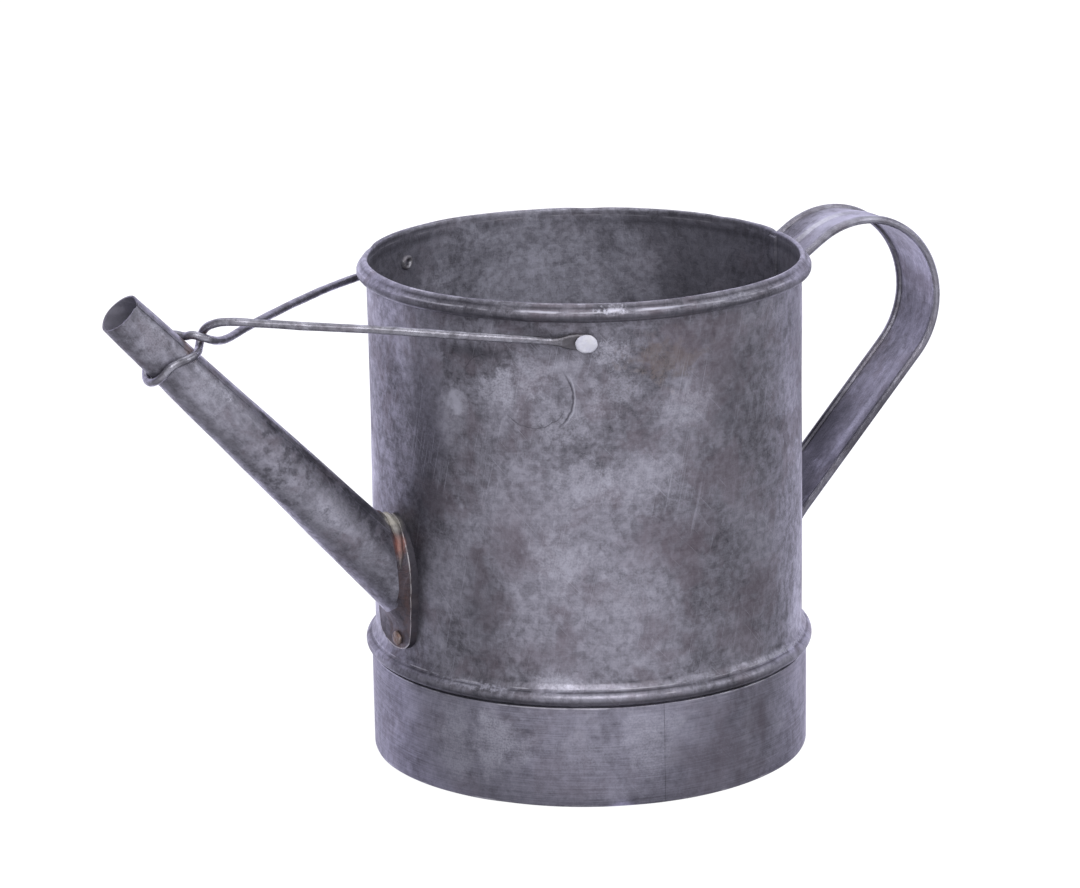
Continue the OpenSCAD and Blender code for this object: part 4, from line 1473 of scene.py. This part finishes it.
@dataclass
class Saddle:
    """The plate at the spout's root, its old solder and its one rivet.

    The plate's face is nearly flat and flares out round the tube, and its edge is turned back to the wall.
    """

    spout: Spout
    face: float = -81.6
    middle: float = 74.0
    plate: float = 0.7
    steps: int = 120
    edge: tuple[tuple[float, float], ...] = (
        (0.0, 99.6), (4.2, 98.2), (8.0, 94.2), (11.3, 89.0), (13.0, 83.8), (13.7, 77.5), (13.7, 70.5),
        (13.1, 62.8), (12.4, 56.5), (11.4, 52.4), (8.0, 49.8), (0.0, 48.2),
    )
    edge_back: float = 0.25
    wall: float = 79.8
    spread: float = 1.03
    turned: float = 0.3
    wear_reach: float = 2.0
    rivet: Rivet = Rivet(5.6, 5.4, 1.5)
    rivet_seat: Point = (-81.55, -3.9, 52.9)
    solder_knots: int = 40

    def outer(self, turn: float) -> tuple[float, float]:
        """The plate's edge at a turn about its middle, as y and height."""
        known = sorted(
            (math.atan2(z - self.middle, sign * y), math.hypot(y, z - self.middle))
            for y, z in self.edge
            for sign in (1.0, -1.0)
        )
        known = [(known[-1][0] - math.tau, known[-1][1]), *known, (known[0][0] + math.tau, known[0][1])]
        for (a, first), (b, second) in zip(known, known[1:]):
            if a <= turn <= b and b - a > 1e-6:
                share = (turn - a) / (b - a)
                reach = first + (second - first) * share
                return reach * math.cos(turn), self.middle + reach * math.sin(turn)
        return known[0][1] * math.cos(turn), self.middle + known[0][1] * math.sin(turn)

    def throat(self, turn: float, off: float, grow: float) -> Vector:
        """Where the flare meets the tube.

        Args:
            turn: the turn about the plate's middle, in radians.
            off: how far the flare stands off the plate's face, in millimetres.
            grow: how far outside the tube it lies, in millimetres.

        Returns:
            The place in millimetres.
        """
        s = (-(self.face - off) - 80.0) / -self.spout.along.x
        centre = Vector((self.face - off, 0.0, self.spout.height + s * self.spout.along.z))
        radius = self.spout.radius(s) + grow
        tall = radius / abs(self.spout.along.x)

        def in_tube(reach: float) -> bool:
            """Whether a place at this reach from the plate's middle is still inside the tube."""
            z = self.middle + reach * math.sin(turn) - centre.z
            return (reach * math.cos(turn) / radius) ** 2 + (z / tall) ** 2 < 1.0

        reach = last_within(0.0, 40.0, in_tube)
        return Vector((centre.x, reach * math.cos(turn), self.middle + reach * math.sin(turn)))

    def line(self, turn: float) -> list[Vector]:
        """One line of the plate, in millimetres: from the tube to its edge, round it and back to the wall."""
        y, z = self.outer(turn)
        edge = Vector((self.face + self.edge_back, y, z))
        back = Vector((-math.sqrt(self.wall**2 - y**2), y * self.spread, z))
        bend = self.throat(turn, 0.3, 0.28)
        neck = self.throat(turn, 3.4 + 1.4 * max(0.0, math.sin(turn)), 0.34)
        shares = [i / 8 for i in range(9)]
        points = [neck * (1 - t) ** 2 + bend * 2 * t * (1 - t) + edge * t**2 for t in shares]
        return [*points, edge + (back - edge).normalized() * self.turned, back]

    def flange(self) -> Any:
        """Models the plate with its flare and returns it."""
        rows = [self.line(-math.pi + math.tau * i / self.steps) for i in range(self.steps)]
        plate = draw_ring("saddle_flange", [row[0] * MM for row in rows])

        def next_place(co: Vector, level: int) -> Vector:
            """The place at this level of the row whose last place is the nearest."""
            row = min(rows, key=lambda r: (r[level - 1] * MM - co).length_squared)
            return row[level] * MM

        for level in range(1, len(rows[0])):
            extrude_to(plate, lambda co: next_place(co, level))
        bpy.ops.mesh.select_all(action="SELECT")
        bpy.ops.mesh.normals_make_consistent(inside=False)
        bpy.ops.object.mode_set(mode="OBJECT")
        if sum(p.normal.x for p in plate.data.polygons) > 0.0:
            bpy.ops.object.mode_set(mode="EDIT")
            bpy.ops.mesh.flip_normals()
            bpy.ops.object.mode_set(mode="OBJECT")
        self._mark_edge(plate)
        warp(plate, 0.5 * MM, 14.0 * MM)
        work(plate, "SOLIDIFY", thickness=self.plate * MM, offset=-1.0)
        finish_mesh(plate, 45.0)
        return plate

    def _mark_edge(self, plate: Any) -> None:
        """Writes how near each vertex is to the edge, from 0 to 1 on it, and -1 behind it."""
        edge_marks = plate.data.attributes.new("worn_edge", "FLOAT", "POINT")
        for vertex in plate.data.vertices:
            turn = math.atan2(vertex.co.z / MM - self.middle, vertex.co.y / MM)
            edge = self.line(turn)[-3]
            off = vertex.co / MM - edge
            behind = off.x > self.turned * 0.5
            # Behind the edge, -1 marks where painted shade goes; 0 to 1 marks the rubbed bare edge.
            edge_marks.data[vertex.index].value = -1.0 if behind else max(0.0, 1.0 - off.length / self.wear_reach)

    def solder(self) -> Any:
        """Models the lumpy old solder round the flare's neck and under its edge, and returns it."""
        bpy.ops.object.select_all(action="DESELECT")
        bpy.ops.curve.primitive_bezier_circle_add(radius=0.01)
        bead = bpy.context.object
        spline = bead.data.splines[0]
        spline.bezier_points.add(self.solder_knots - len(spline.bezier_points))
        for index, knot in enumerate(spline.bezier_points):
            turn = math.tau * index / self.solder_knots
            top = max(0.0, math.sin(turn - 0.30)) ** 9
            knot.co = self.throat(turn, 3.0 - 0.7 * top, 0.55 * top - 0.45 * (1.0 - top)) * MM
            knot.handle_left_type = knot.handle_right_type = "AUTO"
            lumps = 0.30 * math.sin(index * 2.7) * top + 0.05 * math.sin(index * 5.1)
            knot.radius = 0.38 + 1.55 * top + lumps
        bead.data.bevel_depth = 1.0 * MM
        bead.data.bevel_resolution = 4
        bead.data.resolution_u = 6
        bpy.ops.object.convert(target="MESH")
        bead = settle("spout_solder")
        warp(bead, 0.9 * MM, 5.0 * MM)
        bpy.ops.object.mode_set(mode="EDIT")
        clean()
        finish_mesh(bead, 80.0)
        return bead

    def pin(self) -> Any:
        """Models the plate's one rivet and returns it."""
        return self.rivet.build("saddle_pin", Vector(self.rivet_seat) * MM, Vector((-1.0, 0.0, 0.0)))


@dataclass
class Stay:
    """The wire that ties the spout to the wall: two legs, a crossing and a loop under the spout."""

    spout: Spout
    wire: float = 1.5
    bearing: float = 61.4
    heights: tuple[float, float] = (172.6, 174.4)
    flat_length: float = 12.5
    eye: float = 3.0
    wire_seat: float = 81.75
    loop_radius: float = 10.38
    rivet: Rivet = Rivet(8.0, 6.8, 1.3, 3.3)
    rivet_seat: float = 81.9
    loop: tuple[tuple[float, float], ...] = (
        (-104.0, 129.4), (-130.0, 128.8), (-157.0, 127.9), (175.0, 127.3), (148.0, 127.3), (120.0, 127.9),
        (92.0, 128.9), (64.0, 129.5), (40.0, 129.6),
    )
    near_leg: tuple[Point, ...] = (
        (-79.2, -50.7, 176.4), (-105.9, -36.0, 179.0), (-123.8, -25.2, 180.2), (-139.0, -15.6, 181.3),
        (-147.6, -9.4, 181.7), (-151.6, -5.0, 180.6), (-153.8, -1.4, 178.0), (-154.8, -0.4, 175.0),
        (-156.6, -2.6, 172.6), (-159.0, -6.2, 171.4), (-162.4, -9.2, 170.9),
    )
    far_leg: tuple[Point, ...] = (
        (-159.9, 1.6, 175.9), (-158.6, -2.2, 176.9), (-155.4, -4.1, 175.9), (-151.5, -3.0, 174.3),
        (-147.2, 0.4, 172.9), (-142.5, 4.5, 172.2), (-138.1, 8.5, 172.0), (-127.7, 16.9, 172.4),
        (-108.0, 31.6, 173.0), (-80.0, 50.2, 173.7),
    )

    def rivet_place(self, sign: float, height: float, radius: float) -> Vector:
        """A place above one rivet's seat, in metres."""
        return on_wall(180.0 + sign * self.bearing, height, radius)

    def ends(self) -> list[tuple[Vector, Vector]]:
        """Both flat ends, near and far: the seat at its rivet, in metres, and the way along the wire."""
        ends = []
        for sign, height, leg in (
            (1.0, self.heights[0], self.near_leg[0]), (-1.0, self.heights[1], self.far_leg[-1])
        ):
            seat = self.rivet_place(sign, height, self.wire_seat)
            ends.append((seat, (Vector(leg) * MM - seat).normalized()))
        return ends

    def route(self) -> list[Vector]:
        """The wire's centre line, in metres."""
        near_end, far_end = (
            [seat + way * run * MM for run in (-self.eye, 0.0, 8.0, 18.0)] for seat, way in self.ends()
        )
        loop = [self.spout.place(s, bearing, self.loop_radius) for bearing, s in self.loop]
        near = [Vector(p) * MM for p in self.near_leg]
        far = [Vector(p) * MM for p in self.far_leg]
        return [*near_end, *near, *loop, *far, *reversed(far_end)]

    def build(self) -> Any:
        """Bends the wire, beats its ends flat and returns it."""
        points = self.route()
        bpy.ops.object.select_all(action="DESELECT")
        bpy.ops.curve.primitive_bezier_curve_add(radius=0.01)
        wire = bpy.context.object
        spline = wire.data.splines[0]
        spline.bezier_points.add(len(points) - len(spline.bezier_points))
        for knot, place in zip(spline.bezier_points, points):
            knot.co = place
            knot.handle_left_type = knot.handle_right_type = "AUTO"
            knot.radius = 1.0
        wire.data.bevel_depth = self.wire * MM
        wire.data.bevel_resolution = 6
        wire.data.resolution_u = 10
        wire.data.use_fill_caps = True
        bpy.ops.object.convert(target="MESH")
        wire = settle("stay_rod")
        warp(wire, 0.35 * MM, 12.0 * MM)
        for seat, way in self.ends():
            self._beat_flat(wire, seat, way)
        bpy.ops.object.mode_set(mode="EDIT")
        clean()
        finish_mesh(wire, 50.0)
        return wire

    def _beat_flat(self, wire: Any, seat: Vector, way: Vector) -> None:
        """Flattens one end round its rivet.

        Args:
            wire: the wire's mesh.
            seat: where the rivet goes through it, in metres.
            way: the direction along the wire.
        """
        out = outward(seat)
        out = (out - way * out.dot(way)).normalized()
        across = way.cross(out)
        for vertex in wire.data.vertices:
            off = vertex.co - seat
            run = off.dot(way) / MM
            if abs(run) > self.flat_length or off.length > 1.2 * self.flat_length * MM:
                continue
            inner, wide = off.dot(out), off.dot(across)
            if run < 0.0:
                half = math.sqrt(max(self.eye**2 - run**2, 0.04))
                beat = 1.0
            else:
                beat = max(0.0, min(1.0, (self.flat_length - run) / (self.flat_length - 3.0)))
                beat = beat * beat * (3.0 - 2.0 * beat)
                half = self.wire + (self.eye - self.wire) * beat
            thick = 1.0 - 0.58 * beat
            raised = inner * thick - 0.95 * beat * MM
            vertex.co = seat + way * run * MM + out * raised + across * wide * half / self.wire

    def rivet_piece(self, side: str, sign: float, height: float) -> Any:
        """Models the rivet on one side and returns it."""
        seat = self.rivet_place(sign, height, self.rivet_seat)
        return self.rivet.build(f"stay_rivet_{side}", seat, outward(seat))


def main() -> None:
    """Loads the frame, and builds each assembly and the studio."""
    logging.basicConfig(level=logging.INFO, format="%(name)s: %(message)s")
    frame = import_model()
    bpy.context.scene.view_settings.view_transform = "Standard"
    Studio().build()
    effects = Effects()
    nodes = frame["nodes"]
    strap = STRAP_ZINC.build(effects)
    pan = PAN_ZINC.build(effects)
    solder = OLD_SOLDER.build(effects)
    dress(nodes["rim_wire"], pan)
    dress(nodes["bottom_pan"], pan)
    dress(nodes["bottom_solder"], solder)
    dress(nodes["handle_strap"], strap)
    dull = DULL_RIVET.build(effects)
    dress(nodes["handle_rivets"], dull)
    spout = Spout()
    place_piece(CanBody().build(spout.cutter()), BODY_ZINC.build(effects), "body_zinc", "body_shell")
    place_piece(FootHoop().build(), HOOP_ZINC.build(effects), "hoop_zinc", "foot_hoop")
    place_piece(spout.build(), SPOUT_ZINC.build(effects), "spout_zinc", "spout_tube")
    saddle = Saddle(spout)
    place_piece(saddle.flange(), SADDLE_ZINC.build(effects), "saddle_zinc", "spout_saddle")
    place_piece(saddle.solder(), solder, "solder", "saddle_solder")
    place_piece(saddle.pin(), RUSTY_PIN.build(effects), "saddle_rivet_steel", "saddle_rivet")
    stay = Stay(spout)
    place_piece(stay.build(), STAY_ZINC.build(effects), "stay_zinc", "stay_wire")
    bright = BRIGHT_RIVET.build(effects)
    sides = (("near", 1.0, stay.heights[0], bright), ("far", -1.0, stay.heights[1], dull))
    for side, sign, height, finish in sides:
        place_piece(stay.rivet_piece(side, sign, height), finish, "bright_rivet", "stay_rivets")


if __name__ == "__main__":
    main()
